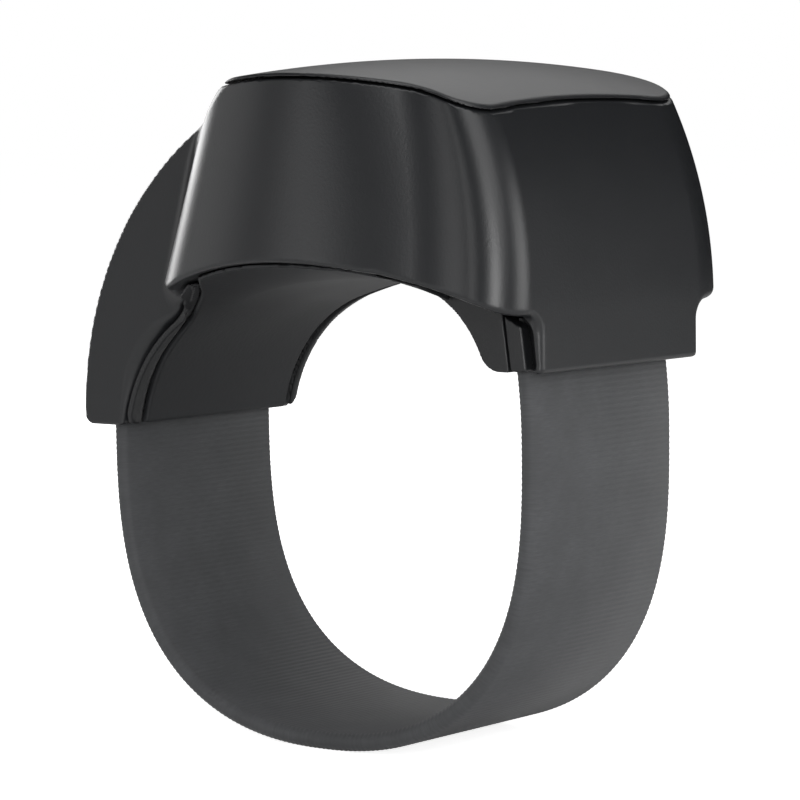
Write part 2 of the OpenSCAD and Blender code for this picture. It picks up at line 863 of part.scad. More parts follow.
module charge_magnets() {
    color("silver") for (x = magnet_at) translate([x, back_in - magnet_t, magnet_z])
        rotate([-90, 0, 0]) cylinder(h = magnet_t, r = magnet_r);
}

outer_shell();
inner_cover();
finger_pad();
strap_cover();
elastic_strap();
strap_pin();
case_screws();
main_board();
board_screws();
radio_chip();
motion_sensor();
charger_chip();
crystal();
antenna();
click_switch();
switch_plunger();
click_cap();
touch_sensor();
touch_flex();
flex_connector();
cap_clips();
return_buffers();
battery();
battery_foam();
battery_tabs();
motor_case();
motor_cover();
motor_rotor();
charge_contacts();
charge_magnets();
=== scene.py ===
"""Finger-ring motion controller: moulded black case, click cap, finger liner and woven strap."""

import math
from types import SimpleNamespace

import bpy
import numpy as np
from bpy.props import FloatProperty, FloatVectorProperty, PointerProperty
from mathutils import Matrix, Vector


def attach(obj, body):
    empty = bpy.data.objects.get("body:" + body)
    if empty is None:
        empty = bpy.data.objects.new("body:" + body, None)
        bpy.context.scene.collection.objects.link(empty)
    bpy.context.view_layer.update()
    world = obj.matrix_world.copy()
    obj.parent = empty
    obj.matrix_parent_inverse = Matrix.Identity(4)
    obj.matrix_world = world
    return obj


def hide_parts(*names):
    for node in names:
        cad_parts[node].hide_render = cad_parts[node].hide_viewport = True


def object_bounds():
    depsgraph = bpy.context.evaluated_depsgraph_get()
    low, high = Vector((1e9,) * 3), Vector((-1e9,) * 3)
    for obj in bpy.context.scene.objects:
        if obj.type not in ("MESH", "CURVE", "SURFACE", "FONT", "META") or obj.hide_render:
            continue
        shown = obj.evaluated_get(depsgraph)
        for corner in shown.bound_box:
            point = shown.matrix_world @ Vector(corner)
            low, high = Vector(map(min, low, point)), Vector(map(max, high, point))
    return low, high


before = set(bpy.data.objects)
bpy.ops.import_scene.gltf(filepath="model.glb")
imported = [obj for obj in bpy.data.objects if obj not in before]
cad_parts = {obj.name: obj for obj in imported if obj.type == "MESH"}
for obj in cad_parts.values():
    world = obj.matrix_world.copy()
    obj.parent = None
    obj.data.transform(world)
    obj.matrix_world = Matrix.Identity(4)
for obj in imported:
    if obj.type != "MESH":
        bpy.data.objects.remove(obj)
cad_box = [list(corner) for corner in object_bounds()]

bl_info = {
    "name": "Finger Ring Controller",
    "version": (1, 0, 0),
    "blender": (4, 5, 0),
    "location": "View3D > Sidebar > Ring",
    "description": "Builds a finger-worn motion controller on its packed solids",
    "category": "Object",
}

MM = 0.001


# Sizes and colours a user would change


def length(name, description, mm):
    return FloatProperty(name=name, description=description, default=mm * MM, unit="LENGTH", precision=5)


def paint(name, description, code):
    return FloatVectorProperty(
        name=name, description=description, default=linear(code), size=3, subtype="COLOR", min=0.0, max=1.0
    )


def linear(code):
    """An sRGB hex colour as linear red, green and blue."""
    values = [int(code[i : i + 2], 16) / 255 for i in (1, 3, 5)]
    return [v / 12.92 if v <= 0.04045 else ((v + 0.055) / 1.055) ** 2.4 for v in values]


class RingSizes(bpy.types.PropertyGroup):
    """Sizes of the moulded pieces and of the strap"""

    lip_round: length("Lip Rounding", "Rounding of the shell's lower edge", 0.22)
    wing_round: length("Wing Rounding", "Rounding of the wing's outer edges", 0.1)
    seam: length("Seam", "Gap between the shell and the inner cover", 0.1)
    pad_groove: length("Pad Groove", "Gap round the finger pad", 0.36)
    pad_thickness: length("Pad Thickness", "Thickness of the finger pad", 0.5)
    cap_rim: length("Cap Rim", "Thickness of the click cap's rim", 0.14)
    cap_gap: length("Cap Gap", "Gap between the cap's rim and the shell", 0.11)
    strap_width: length("Strap Width", "Width of the woven strap", 10.5)
    strap_thickness: length("Strap Thickness", "Thickness of the woven strap", 0.8)
    rib_pitch: length("Rib Pitch", "Spacing of the strap's cross ribs", 0.25)
    rib_height: length("Rib Height", "Depth of the grooves between the ribs", 0.02)


class RingColours(bpy.types.PropertyGroup):
    """Colours of the finishes"""

    shell: paint("Shell", "Moulded shell and click cap", "#1c1d1f")
    cover: paint("Cover", "Inner cover and strap cover", "#151618")
    pad: paint("Pad", "Silicone finger pad", "#212224")
    yarn: paint("Yarn", "Woven strap", "#424345")
    floor: paint("Floor", "Studio floor", "#f4f4f4")


# Distances, in millimetres: negative inside, with rounded unions and cuts


def both(a, b, r):
    """Where both solids are, with the edge between them rounded."""
    return np.minimum(-r, np.maximum(a, b)) + np.hypot(np.maximum(r + a, 0), np.maximum(r + b, 0))


def either(a, b, r):
    """Where either solid is, with a fillet in the corner between them."""
    return np.maximum(r, np.minimum(a, b)) - np.hypot(np.maximum(r - a, 0), np.maximum(r - b, 0))


def slab(v, low, high):
    return np.maximum(low - v, v - high)


def ease(v, low, high):
    t = np.clip((v - low) / (high - low), 0, 1)
    return t * t * (3 - 2 * t)


def heading(a):
    """Unit vector of a wall's outward heading: 0 towards the nose, 90 towards the right face."""
    a = math.radians(a)
    return np.array([math.sin(a), -math.cos(a)])


# The pod's plan at the level PLAN_Z, and its taper
PLAN_Z, POD_MID = 10.0, 3.0
LEFT_X, LEFT_TAPER, FRONT_TAPER = -6.0, 0.028, 0.016
FACE_X, FACE_R, FACE_Z = 12.95, 17.6, 5.5
FRONT, BACK, WALL = 8.0, 10.4, 1.2
CORNER_R, HOLLOW_R, HOLLOW_TURN = 1.8, 5.0, 28.0
NOSE_R, NOSE_TURN, NOSE_CORNER_R, SLANT = 14.0, 18.0, 4.5, 47.0
SIDE_R, BACK_R = 2.2, 4.5
# The dome, the deck under it and the arch of the shell's lower edge
DOME_X, DOME_Y, DOME_Z, CROWN_X_R, CROWN_Y_R = 1.8, 1.8, 16.3, 22.6, 98.0
DECK_TOP, DECK_LOW = 13.2, 12.5
ARCH_X, ARCH_Z, ARCH_R, ARCH_LEFT = 2.5, 7.65, 21.0, -6.95
SPLAY, SPLAY_COS = 1.09, 0.68
# The top's edge: crisp, but rolled over at the left, where the cap's click needs room
EDGE_R, ROLL_R, ROLL_X = 0.15, 2.3, (-5.5, -0.5)
ROOM_LEFT, ROOM_CORNER, ROOM_AT, ROOM_SPREAD = 0.06, 0.1, (-3.2, -6.3), 1.5
# The pod's lower edge: level on the left of SPLIT_X, falling to the right of FOOT_LEFT
SPLIT_X, LOW_LEFT = 2.0, 6.2
FOOT_Z, FOOT_FALL, FOOT_COS, FOOT_LEFT = 5.65, 0.296, 0.96, 7.0
# The legs, and the opening that the finger goes through
LEG, LEFT_END, RIGHT_END, LEG_LEAN, LEAN_RISE = 6.0, -0.2, 3.0, 0.13, 3.0
WING_C, WING_R, WING_SKIN, WING_ROOM = (2.3, 0.3), 15.3, 0.95, -2.6
LEFT_C, LEFT_R = np.array([-3.4, -1.4]), 7.0
RIGHT_C, RIGHT_R = np.array([5.15, 1.75]), 5.0
CROWN_R, RIM, RIM_RIGHT, RIM_LEAN, SLOT_X = 30.0, 0.38, 12.62, 0.8, 12.2
# How the opening flares towards the pod's front and back edges, and the wall left under the arch
FLARE_LEFT, FLARE_RIGHT, FLARE_MOST = (-7.0, -4.6), (8.6, 10.0), 2.5
NEAR_START, NEAR_RUN, NEAR_POWER, NEAR_Z = 1.16, 4.2, 1.6, 7.0
FAR_START, FAR_RUN = 5.6, 0.8
LINING, LINING_LEFT, LINING_RIGHT = 0.22, 0.25, 0.1
# The strap's loop, its eye and its pin, and the slot in the right leg that takes its end
HALF, DROP, SIDE_POWER, FLOOR_POWER, LEAN = 12.0, 14.2, 0.87, 0.69, 0.02
EYE_Z, STRAP_TOP, PIN_R, CHEEK, STRAP_EDGE = 5.8, 5.3, 0.5, 5.3, 0.24
SLOT, SLOT_TOP, TONGUE_X, TONGUE_TOP = (10.2, 12.6), 6.45, 12.7, 6.4
# The inner cover's ramp, plate, motor stand and cheeks, the strap cover and the finger pad
COVER_EDGE, COVER_TOP, SEAM_INSIDE = 11.25, 5.05, 0.02
RAMP_X, RAMP_LOW, RAMP_LOW_FAR, RAMP_INSET = (-7.2, 8.3), 5.0, 6.15, 0.5
RISE_Y, RISE_Z, RISE_SLOPE, RISE_L = 5.94, 5.2, 2.4, 2.6
JOIN_X, JOIN_HALF = -6.0, 2.0
PLATE_INSET, PLATE_RIGHT, PLATE_LAYER = 0.14, 9.6, (-0.2, 0.45)
STAND_R, STAND_Z = 3.0, (6.9, 7.5)
CHEEK_TOP, CHEEK_SLOPE, CHEEK_X = 5.02, 0.53, 11.77
PAD_FAR, PAD_SEAT, PAD_PLAY, GROOVE_DEPTH = 5.2, 0.04, 0.02, 0.24
# Room between pieces that fit in one another, the legs' inset, and a distance that limits nothing
CLEAR, INSET, INSIDE = 0.05, 0.06, -2.0
# The cap's posts and plate, the deck's windows, the contacts, the motor and the case screws
POSTS, SWITCH, FLEX = ((-2.2, 1.8), (7.2, 1.4), (3.4, -4.7)), (3.0, -0.6), (-2.7, -1.2)
POST_R, BASE_R, BASE_Z, POST_END, BOSS_Z, POST_SUNK = 0.6, 1.2, 14.0, 12.15, 14.125, 0.15
CAP_INSET, CAP_SUNK, CAP_PLATE = 0.24, 0.1, 1.1
WINDOWS, WINDOW_Z = ((SWITCH, 2.05, 2.05), (FLEX, 0.31, 1.75)), (12, 14)
CONTACTS, CONTACT_Z, CONTACT_R, CONTACT_DEPTH = (0.4, 3.4), 11.5, 0.8, 1.6
MOTOR, SCREWS = (8.1, -0.6), ((-0.8, -7.1), (7.0, -6.1))
SEAT_R, SEAT_Z, SEAT_LOW = 1.4, (7.3, 8.8), 7.0
SCREW_HEAD_R, SCREW_HEAD_Z, SCREW_HOLE_R = 1.05, 8, 0.65


def face_at(z):
    """The right face bulges: its place at a level."""
    bulge = np.sqrt(np.maximum(FACE_R**2 - (z - FACE_Z) ** 2, 0))
    return np.where(z < FACE_Z, FACE_X, FACE_X - FACE_R + bulge)


def plan_outline():
    """Arcs (centre, radius, from, to, side) and straight walls (start, end, heading) of the plan."""
    face = float(face_at(np.float64(PLAN_Z)))
    corner = np.array([face - CORNER_R, CORNER_R - FRONT])
    hollow = np.array([corner[0], -FRONT - HOLLOW_R])
    nose = hollow - (HOLLOW_R + NOSE_R) * heading(HOLLOW_TURN)
    nose_corner = nose + (NOSE_R - NOSE_CORNER_R) * heading(-NOSE_TURN)
    slant, side_x = heading(-SLANT), LEFT_X + SIDE_R
    start = nose_corner + NOSE_CORNER_R * slant
    side = np.array([side_x, (start @ slant - SIDE_R - side_x * slant[0]) / slant[1]])
    back_right = np.array([face - BACK_R, BACK - BACK_R])
    back_left = np.array([side_x, BACK - SIDE_R])
    arcs = [
        (side, SIDE_R, -90, -SLANT, 1),
        (nose_corner, NOSE_CORNER_R, -SLANT, -NOSE_TURN, 1),
        (nose, NOSE_R, -NOSE_TURN, HOLLOW_TURN, 1),
        (hollow, HOLLOW_R, HOLLOW_TURN + 180, 180, -1),
        (corner, CORNER_R, 0, 90, 1),
        (back_right, BACK_R, 90, 180, 1),
        (back_left, SIDE_R, 180, 270, 1),
    ]
    walls = [
        (side + SIDE_R * slant, start, -SLANT),
        (corner + [CORNER_R, 0], back_right + [BACK_R, 0], 90),
        (back_right + [0, BACK_R], back_left + [0, SIDE_R], 180),
        (back_left - [SIDE_R, 0], side - [SIDE_R, 0], 270),
    ]
    return face, arcs, walls


PLAN_FACE, PLAN_ARCS, PLAN_WALLS = plan_outline()


def pod_side(x, y, z):
    """Distance to the pod's tapered side wall."""
    right = (face_at(z) - POD_MID) / (PLAN_FACE - POD_MID)
    px = POD_MID + (x - POD_MID) / np.where(x > POD_MID, right, 1 - LEFT_TAPER * (z - PLAN_Z))
    py = y / np.where(y < 0, 1 - FRONT_TAPER * (z - PLAN_Z), 1)
    best = np.full(np.shape(px), 1e3)
    for c, r, start, end, side in PLAN_ARCS:
        mid, half = heading((start + end) / 2), math.cos(math.radians(abs(end - start) / 2) + 1e-3)
        dx, dy = px - c[0], py - c[1]
        reach = np.hypot(dx, dy)
        d = side * (reach - r)
        best = np.where((dx * mid[0] + dy * mid[1] >= reach * half) & (np.abs(d) < np.abs(best)), d, best)
    for start, end, turn in PLAN_WALLS:
        out, run = heading(turn), end - start
        dx, dy = px - start[0], py - start[1]
        along = (dx * run[0] + dy * run[1]) / (run @ run)
        d = dx * out[0] + dy * out[1]
        best = np.where((along >= 0) & (along <= 1) & (np.abs(d) < np.abs(best)), d, best)
    return best


def dome(x, y, z):
    """Distance above the dome."""
    rise = CROWN_Y_R - CROWN_X_R
    return np.hypot(x - DOME_X, np.hypot(y - DOME_Y, z - DOME_Z + CROWN_Y_R) - rise) - CROWN_X_R


def dome_drop(x, y):
    """How far the dome lies under its crest."""
    across = CROWN_X_R - np.sqrt(CROWN_X_R**2 - (x - DOME_X) ** 2)
    return CROWN_Y_R - np.sqrt((CROWN_Y_R - across) ** 2 - (y - DOME_Y) ** 2)


def rolled(x):
    """How much the top's edge is rolled over: 1 at the left end, 0 from the middle on."""
    return 1 - ease(x, *ROLL_X)


def top_edge(x, y, z):
    """The pod's side and its dome, with the edge between them crisp on the right and round on the left."""
    return both(pod_side(x, y, z), dome(x, y, z), EDGE_R + ROLL_R * rolled(x))


def click_room(x, y):
    """How much lower the shell's edge is under the cap's rolled edge, most at the left front corner."""
    corner = np.exp(-((x - ROOM_AT[0]) ** 2 + (y - ROOM_AT[1]) ** 2) / ROOM_SPREAD)
    return ROOM_LEFT * rolled(x) + ROOM_CORNER * corner


# Centre of the crown, an arc that is tangent to both shoulders of the opening
SPAN = RIGHT_C - LEFT_C
SPAN_L = float(np.hypot(*SPAN))
ALONG = ((CROWN_R - LEFT_R) ** 2 - (CROWN_R - RIGHT_R) ** 2 + SPAN_L**2) / (2 * SPAN_L)
DOWN = math.sqrt((CROWN_R - LEFT_R) ** 2 - ALONG**2)
CROWN_C = LEFT_C + ALONG * SPAN / SPAN_L + DOWN * np.array([SPAN[1], -SPAN[0]]) / SPAN_L


def opening(x, z):
    """Distance to the finger opening's wall: two shoulders, the crown between them, straight legs."""
    to_left, to_right = LEFT_C - CROWN_C, RIGHT_C - CROWN_C
    dx, dz = x - CROWN_C[0], z - CROWN_C[1]
    left_of = dx * to_left[1] - dz * to_left[0] < 0
    right_of = dx * to_right[1] - dz * to_right[0] > 0
    left = np.hypot(x - LEFT_C[0], z - LEFT_C[1]) - LEFT_R
    left = np.where(z > LEFT_C[1], left, LEFT_C[0] - LEFT_R - x)
    right = np.hypot(x - RIGHT_C[0], z - RIGHT_C[1]) - RIGHT_R
    right = np.where(z > RIGHT_C[1], right, x - RIGHT_C[0] - RIGHT_R)
    return np.where(left_of, left, np.where(right_of, right, np.hypot(dx, dz) - CROWN_R))


def arch(x, z):
    """Distance above the arch under the pod."""
    return np.hypot(x - ARCH_X, z - ARCH_Z + ARCH_R) - ARCH_R


def above_foot(x, z):
    """Distance above the pod's lower edge on the right, where it overhangs the leg."""
    foot = FOOT_Z - FOOT_FALL * (np.maximum(x, FOOT_LEFT) - HALF)
    return FOOT_COS * (z - foot)


def lid(x, z):
    """Distance above the shell's lower edge."""
    return np.where(x > FOOT_LEFT, np.minimum(arch(x, z), above_foot(x, z)), arch(x, z))


def leg_lean(z):
    """The seams in the right leg lean inwards with height."""
    return LEG_LEAN * np.clip(z - RIGHT_END, 0, LEAN_RISE)


def front_line():
    """The pod's front edge near its lower rim: places across the finger, and how far it reaches there."""
    turns = [np.linspace(start, end, 12) for _, _, start, end, _ in PLAN_ARCS[:5]]
    plan = np.array([c + r * heading(a) for (c, r, *_), t in zip(PLAN_ARCS, turns) for a in t])
    low = NEAR_Z - PLAN_Z
    right = (float(face_at(np.float64(NEAR_Z))) - POD_MID) / (PLAN_FACE - POD_MID)
    x = POD_MID + (plan[:, 0] - POD_MID) * np.where(plan[:, 0] > POD_MID, right, 1 - LEFT_TAPER * low)
    return x, -plan[:, 1] * (1 - FRONT_TAPER * low)


FRONT_LINE = front_line()


def finger(x, y, z):
    """The finger opening, which widens towards the pod's front and back edges."""
    middle = ease(x, *FLARE_LEFT) * (1 - ease(x, *FLARE_RIGHT))
    near = np.clip(NEAR_START - (y + np.interp(x, *FRONT_LINE)) / NEAR_RUN, 0, 1) ** NEAR_POWER
    far = np.clip((y - FAR_START) / FAR_RUN, 0, 1)
    wide = middle * np.maximum(near, far)
    wall = opening(x, z)
    under = LINING + LINING_LEFT * (1 - ease(x, -5.5, -2.0)) - LINING_RIGHT * ease(x, 4.0, 6.0)
    return wall - wide * np.clip(wall - arch(x, z) - under, 0, FLARE_MOST)


def under_shell(x, y, z, gap):
    """What lies under the shell's lower edge: the rim beside the opening and the arch under the pod."""
    right = RIM_RIGHT - gap - RIM_LEAN * leg_lean(z)
    left = SPLAY_COS * (ARCH_LEFT + SPLAY * np.clip(np.abs(y) - LEG, 0, 1) - x)
    wide = np.maximum(both(lid(x, z) + gap, x - right, 0.9), left + gap)
    wide = both(wide, np.minimum(x - SLOT_X + leg_lean(z), RIGHT_END + 0.2 - z), 0.16)
    return either(opening(x, z) - RIM + gap, wide, 0.05 + 0.45 * ease(-x, 3.5, 5.5))


def shell_rooms(x, y, z, ring):
    """The rooms inside the shell: above and below the deck, in the wing, and the strap's slot."""
    cheeks = np.abs(y) - CHEEK
    hollow = np.maximum(pod_side(x, y, z) + WALL, np.minimum(z - DECK_LOW, DECK_TOP - z))
    room = np.maximum(np.maximum(cheeks, ring + WING_SKIN), np.maximum(x - WING_ROOM, z - DECK_LOW))
    slot = np.maximum(cheeks, np.maximum(slab(x, *SLOT), z - SLOT_TOP))
    return np.minimum(np.minimum(hollow, room), slot)


def shell_holes(body, x, y, z):
    """Cuts the holes for the cap's posts, the deck's windows and the holes for the contacts."""
    for px, py in POSTS:
        body = np.maximum(body, POST_R + CLEAR - np.hypot(x - px, y - py))
    for (px, py), half_x, half_y in WINDOWS:
        window = np.maximum(np.abs(x - px) - half_x, np.abs(y - py) - half_y)
        body = np.maximum(body, -np.maximum(window, slab(z, *WINDOW_Z)))
    for px in CONTACTS:
        bore = np.hypot(x - px, z - CONTACT_Z) - CONTACT_R - CLEAR
        body = both(body, -np.maximum(bore, BACK - CONTACT_DEPTH - y), 0.12)
    return body


def outer_shell(x, y, z, s):
    leg = np.abs(y) - LEG
    low = np.where(x > SPLIT_X, either(-above_foot(x, z), leg, 0.7), LOW_LEFT - z)
    pod = both(top_edge(x, y, z), low, 0.38)
    pod = np.maximum(pod, dome(x, y, z) + s.cap_rim + s.cap_gap + click_room(x, y))
    pod = both(pod, RIGHT_END - z, 0.2)
    ring = np.hypot(x - WING_C[0], z - WING_C[1]) - WING_R
    wing = both(np.maximum(both(ring, LEFT_END - z, 0.42), x - SPLIT_X), leg, s.wing_round)
    body = either(pod, wing, 1.1)
    swell = 0.5 * ease(-x, 4.0, 7.0) * ease(z, 0, 3) * (1 - ease(z, 4.2, 5.4))
    lip = s.lip_round + swell + 0.08 * ease(x, 9.5, 11.0)
    body = both(body, -under_shell(x, y, z, 0), lip)
    body = np.maximum(body, -shell_rooms(x, y, z, ring))
    tongue = np.maximum(np.abs(y) - CHEEK + CLEAR, slab(x, HALF + CLEAR - LEAN * z * z, TONGUE_X))
    body = np.minimum(body, np.maximum(tongue, slab(z, RIGHT_END, TONGUE_TOP)))
    return shell_holes(body, x, y, z)


def click_cap(x, y, z, s):
    side, top = pod_side(x, y, z), dome(x, y, z)
    rim = both(top_edge(x, y, z), -top - s.cap_rim, 0.06)
    plate = np.maximum(np.maximum(side + WALL + CAP_INSET, top + CAP_SUNK), -top - CAP_PLATE)
    cap = np.minimum(rim, plate)
    for px, py in POSTS:
        reach = np.hypot(x - px, y - py)
        base = np.maximum(reach - BASE_R, BASE_Z - z)
        post = np.minimum(np.maximum(reach - POST_R, POST_END - z), base)
        cap = np.minimum(cap, np.maximum(post, top + POST_SUNK))
    boss = np.maximum(np.hypot(x - SWITCH[0], y - SWITCH[1]) - BASE_R, BOSS_Z - z)
    return np.minimum(cap, np.maximum(boss, top + POST_SUNK))


def pad_edge():
    """How far the finger pad reaches along the finger: places across it, and the reach there."""
    at = (-11.0, -10.2, -9.3, -7.8, -6.9, -5.8, -4.9, -4.0, -3.4, -2.8, -2.0, 5.0, 7.5, 9.0)
    reach = (4.7, 4.75, 4.85, 4.95, 5.3, 6.2, 7.0, 7.9, 8.75, 9.5, 11.0, 11.0, 5.2, 5.2)
    x = np.linspace(-12.0, 10.0, 221)
    limit = np.where(x > -5.0, np.interp(x, *FRONT_LINE) - 0.5, max(reach))
    y = np.minimum(np.interp(x, at, reach), limit)
    window = np.hanning(9) / np.hanning(9).sum()
    return x, np.convolve(np.pad(y, 4, "edge"), window, "valid")


PAD_EDGE = pad_edge()


def pad_plan(x, y):
    """Outline of the finger pad from above: a strip in the legs, wider under the pod."""
    slope = (np.interp(x + 0.1, *PAD_EDGE) - np.interp(x - 0.1, *PAD_EDGE)) / 0.2
    front = (-y - np.interp(x, *PAD_EDGE)) / np.hypot(1, slope)
    return np.maximum(front, y - PAD_FAR)


def finger_pad(x, y, z, s):
    gap = finger(x, y, z)
    layer = both(-gap, gap - s.pad_thickness, 0.1)
    pad = both(layer, both(pad_plan(x, y), LEFT_END + CLEAR - z, 0.12), 0.15)
    pad = np.maximum(pad, arch(x, z) + CLEAR)
    return both(pad, np.where(x > RIGHT_C[0], COVER_TOP + 0.1 - z, INSIDE), 0.12)


def pad_room(x, y, z, s):
    """The recess that the finger pad lies in."""
    gap, plan = finger(x, y, z), pad_plan(x, y)
    room = np.maximum(gap - s.pad_thickness - PAD_SEAT, plan - PAD_PLAY)
    room = np.minimum(room, np.maximum(gap - GROOVE_DEPTH, plan - s.pad_groove))
    return np.maximum(room, np.where(x > RIGHT_C[0], COVER_TOP - z, INSIDE))


def cover_ramp(x, y, z, s, side):
    """The cover's ramp under the pod, from the finger opening out to the shell's lower edge."""
    rise = (-y - RISE_Y - RISE_SLOPE * np.maximum(z - RISE_Z, 0)) / RISE_L
    ramp = both(both(side + RAMP_INSET, rise, 0.2), under_shell(x, y, z, s.seam), 0.12)
    low = np.where(y > 0, RAMP_LOW_FAR, RAMP_LOW) - z
    return np.maximum(ramp, np.maximum(slab(x, *RAMP_X), low))


def cover_inside(cover, x, y, z, side):
    """Adds the plate under the board, the motor's stand and the seats of the case screws."""
    plate = np.maximum(side + WALL + PLATE_INSET, x - PLATE_RIGHT)
    plate = np.maximum(plate, slab(arch(x, z), *PLATE_LAYER))
    stand = np.maximum(np.hypot(x - MOTOR[0], y - MOTOR[1]) - STAND_R, slab(z, *STAND_Z))
    cover = np.minimum(cover, np.minimum(plate, stand))
    for px, py in SCREWS:
        reach = np.hypot(x - px, y - py)
        cover = np.minimum(cover, np.maximum(reach - SEAT_R, slab(z, *SEAT_Z)))
        hole = np.where(z < SCREW_HEAD_Z, reach - SCREW_HEAD_R, reach - SCREW_HOLE_R)
        cover = np.maximum(cover, -np.maximum(hole, SEAT_LOW - z))
    return cover


def inner_cover(x, y, z, s):
    side, leg = pod_side(x, y, np.maximum(z, RAMP_LOW)), np.abs(y) - LEG + INSET
    low = LEFT_END + 0.03 - z
    seam = SEAM_INSIDE + (s.seam - SEAM_INSIDE) * ease(np.abs(y), 5.6, 5.8)
    under = under_shell(x, y, z, seam)
    cover = both(np.maximum(under, x - RIGHT_C[0]), both(leg, low, 0.6), 0.1)
    ramp = cover_ramp(x, y, z, s, side)
    near_join = np.abs(x - JOIN_X) < JOIN_HALF
    joined = np.where(near_join, either(cover, ramp, 0.3), np.minimum(cover, ramp))
    tongue = np.maximum(np.abs(y) - CHEEK + CLEAR, opening(x, z) - 0.75)
    cover = np.minimum(np.maximum(joined, under), np.maximum(tongue, np.maximum(x, low)))
    cover = both(cover, -finger(x, y, z), 0.08)
    cover = cover_inside(cover, x, y, z, side)
    cover = both(cover, -pad_room(x, y, z, s), 0.1)
    block = slab(x, RIGHT_C[0], COVER_EDGE + INSET - leg_lean(z))
    block = np.maximum(block, lid(x, z) + INSET)
    cover = np.maximum(cover, -np.maximum(block, leg - 0.1))
    cheek = slab(x + leg_lean(z), COVER_EDGE + 0.07, SLOT_X - 0.03)
    cheek = both(both(cheek, RIGHT_END + CLEAR - z, 0.15), leg, 0.14)
    cheek = both(cheek, z - CHEEK_TOP - CHEEK_SLOPE * (CHEEK_X - x), 0.06)
    return np.minimum(cover, np.maximum(cheek, CHEEK - np.abs(y)))


def strap_cover(x, y, z, s):
    leg = np.abs(y) - LEG + INSET
    edge = both(-opening(x, z), RIGHT_END + 0.02 - z, 0.7)
    block = both(leg, both(x - COVER_EDGE + leg_lean(z), edge, 0.04), 0.06)
    block = np.maximum(block, np.maximum(RIGHT_C[0] + 0.02 - x, lid(x, z) + 0.12))
    strap = np.maximum(np.abs(y) - CHEEK, HALF - 0.85 - LEAN * z * z - x)
    return np.maximum(np.maximum(block, -strap), -pad_room(x, y, z, s))


# Meshes

# Layers of cells follow the dome: the most they are lowered, from which level up, and over what height
LAYER_DROP, LAYER_LOW, LAYER_RUN = 2.8, 4.0, 9.0
# Most faces that a moulded piece is drawn with
FACE_LIMIT = 75000


def surface(field, low, high, step):
    """Points and faces of the surface where a distance field is zero, one point in each cell it crosses.

    The cells' layers follow the dome near the top, so that its edges come out even.
    """
    axes = [np.arange(a, b + step, step) for a, b in zip(low, high)]
    grid = np.stack(np.meshgrid(*axes, indexing="ij"), -1)
    drop = np.minimum(dome_drop(grid[..., 0], grid[..., 1]), LAYER_DROP)
    grid[..., 2] -= drop * np.clip((grid[..., 2] - LAYER_LOW) / LAYER_RUN, 0, 1)
    value = field(grid[..., 0], grid[..., 1], grid[..., 2])
    corners = [(i, j, k) for i in (0, 1) for j in (0, 1) for k in (0, 1)]
    size = np.array(value.shape) - 1
    inside = value < 0
    count = np.zeros(size, dtype=np.int8)
    for i, j, k in corners:
        count += inside[i : i + size[0], j : j + size[1], k : k + size[2]]
    cell = np.argwhere((count > 0) & (count < len(corners)))
    number = np.full(size, -1, dtype=np.int64)
    number[tuple(cell.T)] = np.arange(len(cell))
    total, hits = np.zeros((len(cell), 3)), np.zeros((len(cell), 1))
    for a in corners:
        for axis in range(3):
            if a[axis]:
                continue
            b = tuple(v + (n == axis) for n, v in enumerate(a))
            ia, ib = tuple((cell + a).T), tuple((cell + b).T)
            va, vb = value[ia], value[ib]
            cross = (va < 0) != (vb < 0)
            t = np.where(cross, va / np.where(cross, va - vb, 1), 0)[:, None]
            total += np.where(cross[:, None], grid[ia] + t * (grid[ib] - grid[ia]), 0)
            hits += cross[:, None]
    faces = []
    for axis in range(3):
        u, v = (axis + 1) % 3, (axis + 2) % 3
        first = np.take(inside, range(size[axis]), axis)
        second = np.take(inside, range(1, size[axis] + 1), axis)
        edge = np.argwhere(first != second)
        edge = edge[(edge[:, u] > 0) & (edge[:, v] > 0) & (edge[:, u] < size[u]) & (edge[:, v] < size[v])]
        ring = []
        for du, dv in ((1, 1), (0, 1), (0, 0), (1, 0)):
            at = edge.copy()
            at[:, u] -= du
            at[:, v] -= dv
            ring.append(number[tuple(at.T)])
        quad = np.stack(ring, 1)
        flip = ~first[tuple(edge.T)]
        quad[flip] = quad[flip][:, ::-1]
        faces.append(quad)
    return total / np.maximum(hits, 1), np.concatenate(faces)


def gradient(field, points, step=0.03):
    """Slope of a distance field at points, from short steps to either side."""
    sides = [(points + d, points - d) for d in step * np.eye(3)]
    return np.stack([(field(*ahead.T) - field(*behind.T)) / (2 * step) for ahead, behind in sides], 1)


def settle(field, points, step):
    """Moves points onto the surface of a distance field, by short steps."""
    for _ in range(3):
        slope = gradient(field, points)
        move = field(*points.T)[:, None] * slope / np.maximum((slope**2).sum(1, keepdims=True), 0.2)
        far = np.linalg.norm(move, axis=1, keepdims=True)
        points = points - move * np.minimum(1, 0.4 * step / np.maximum(far, 1e-9))
    return points


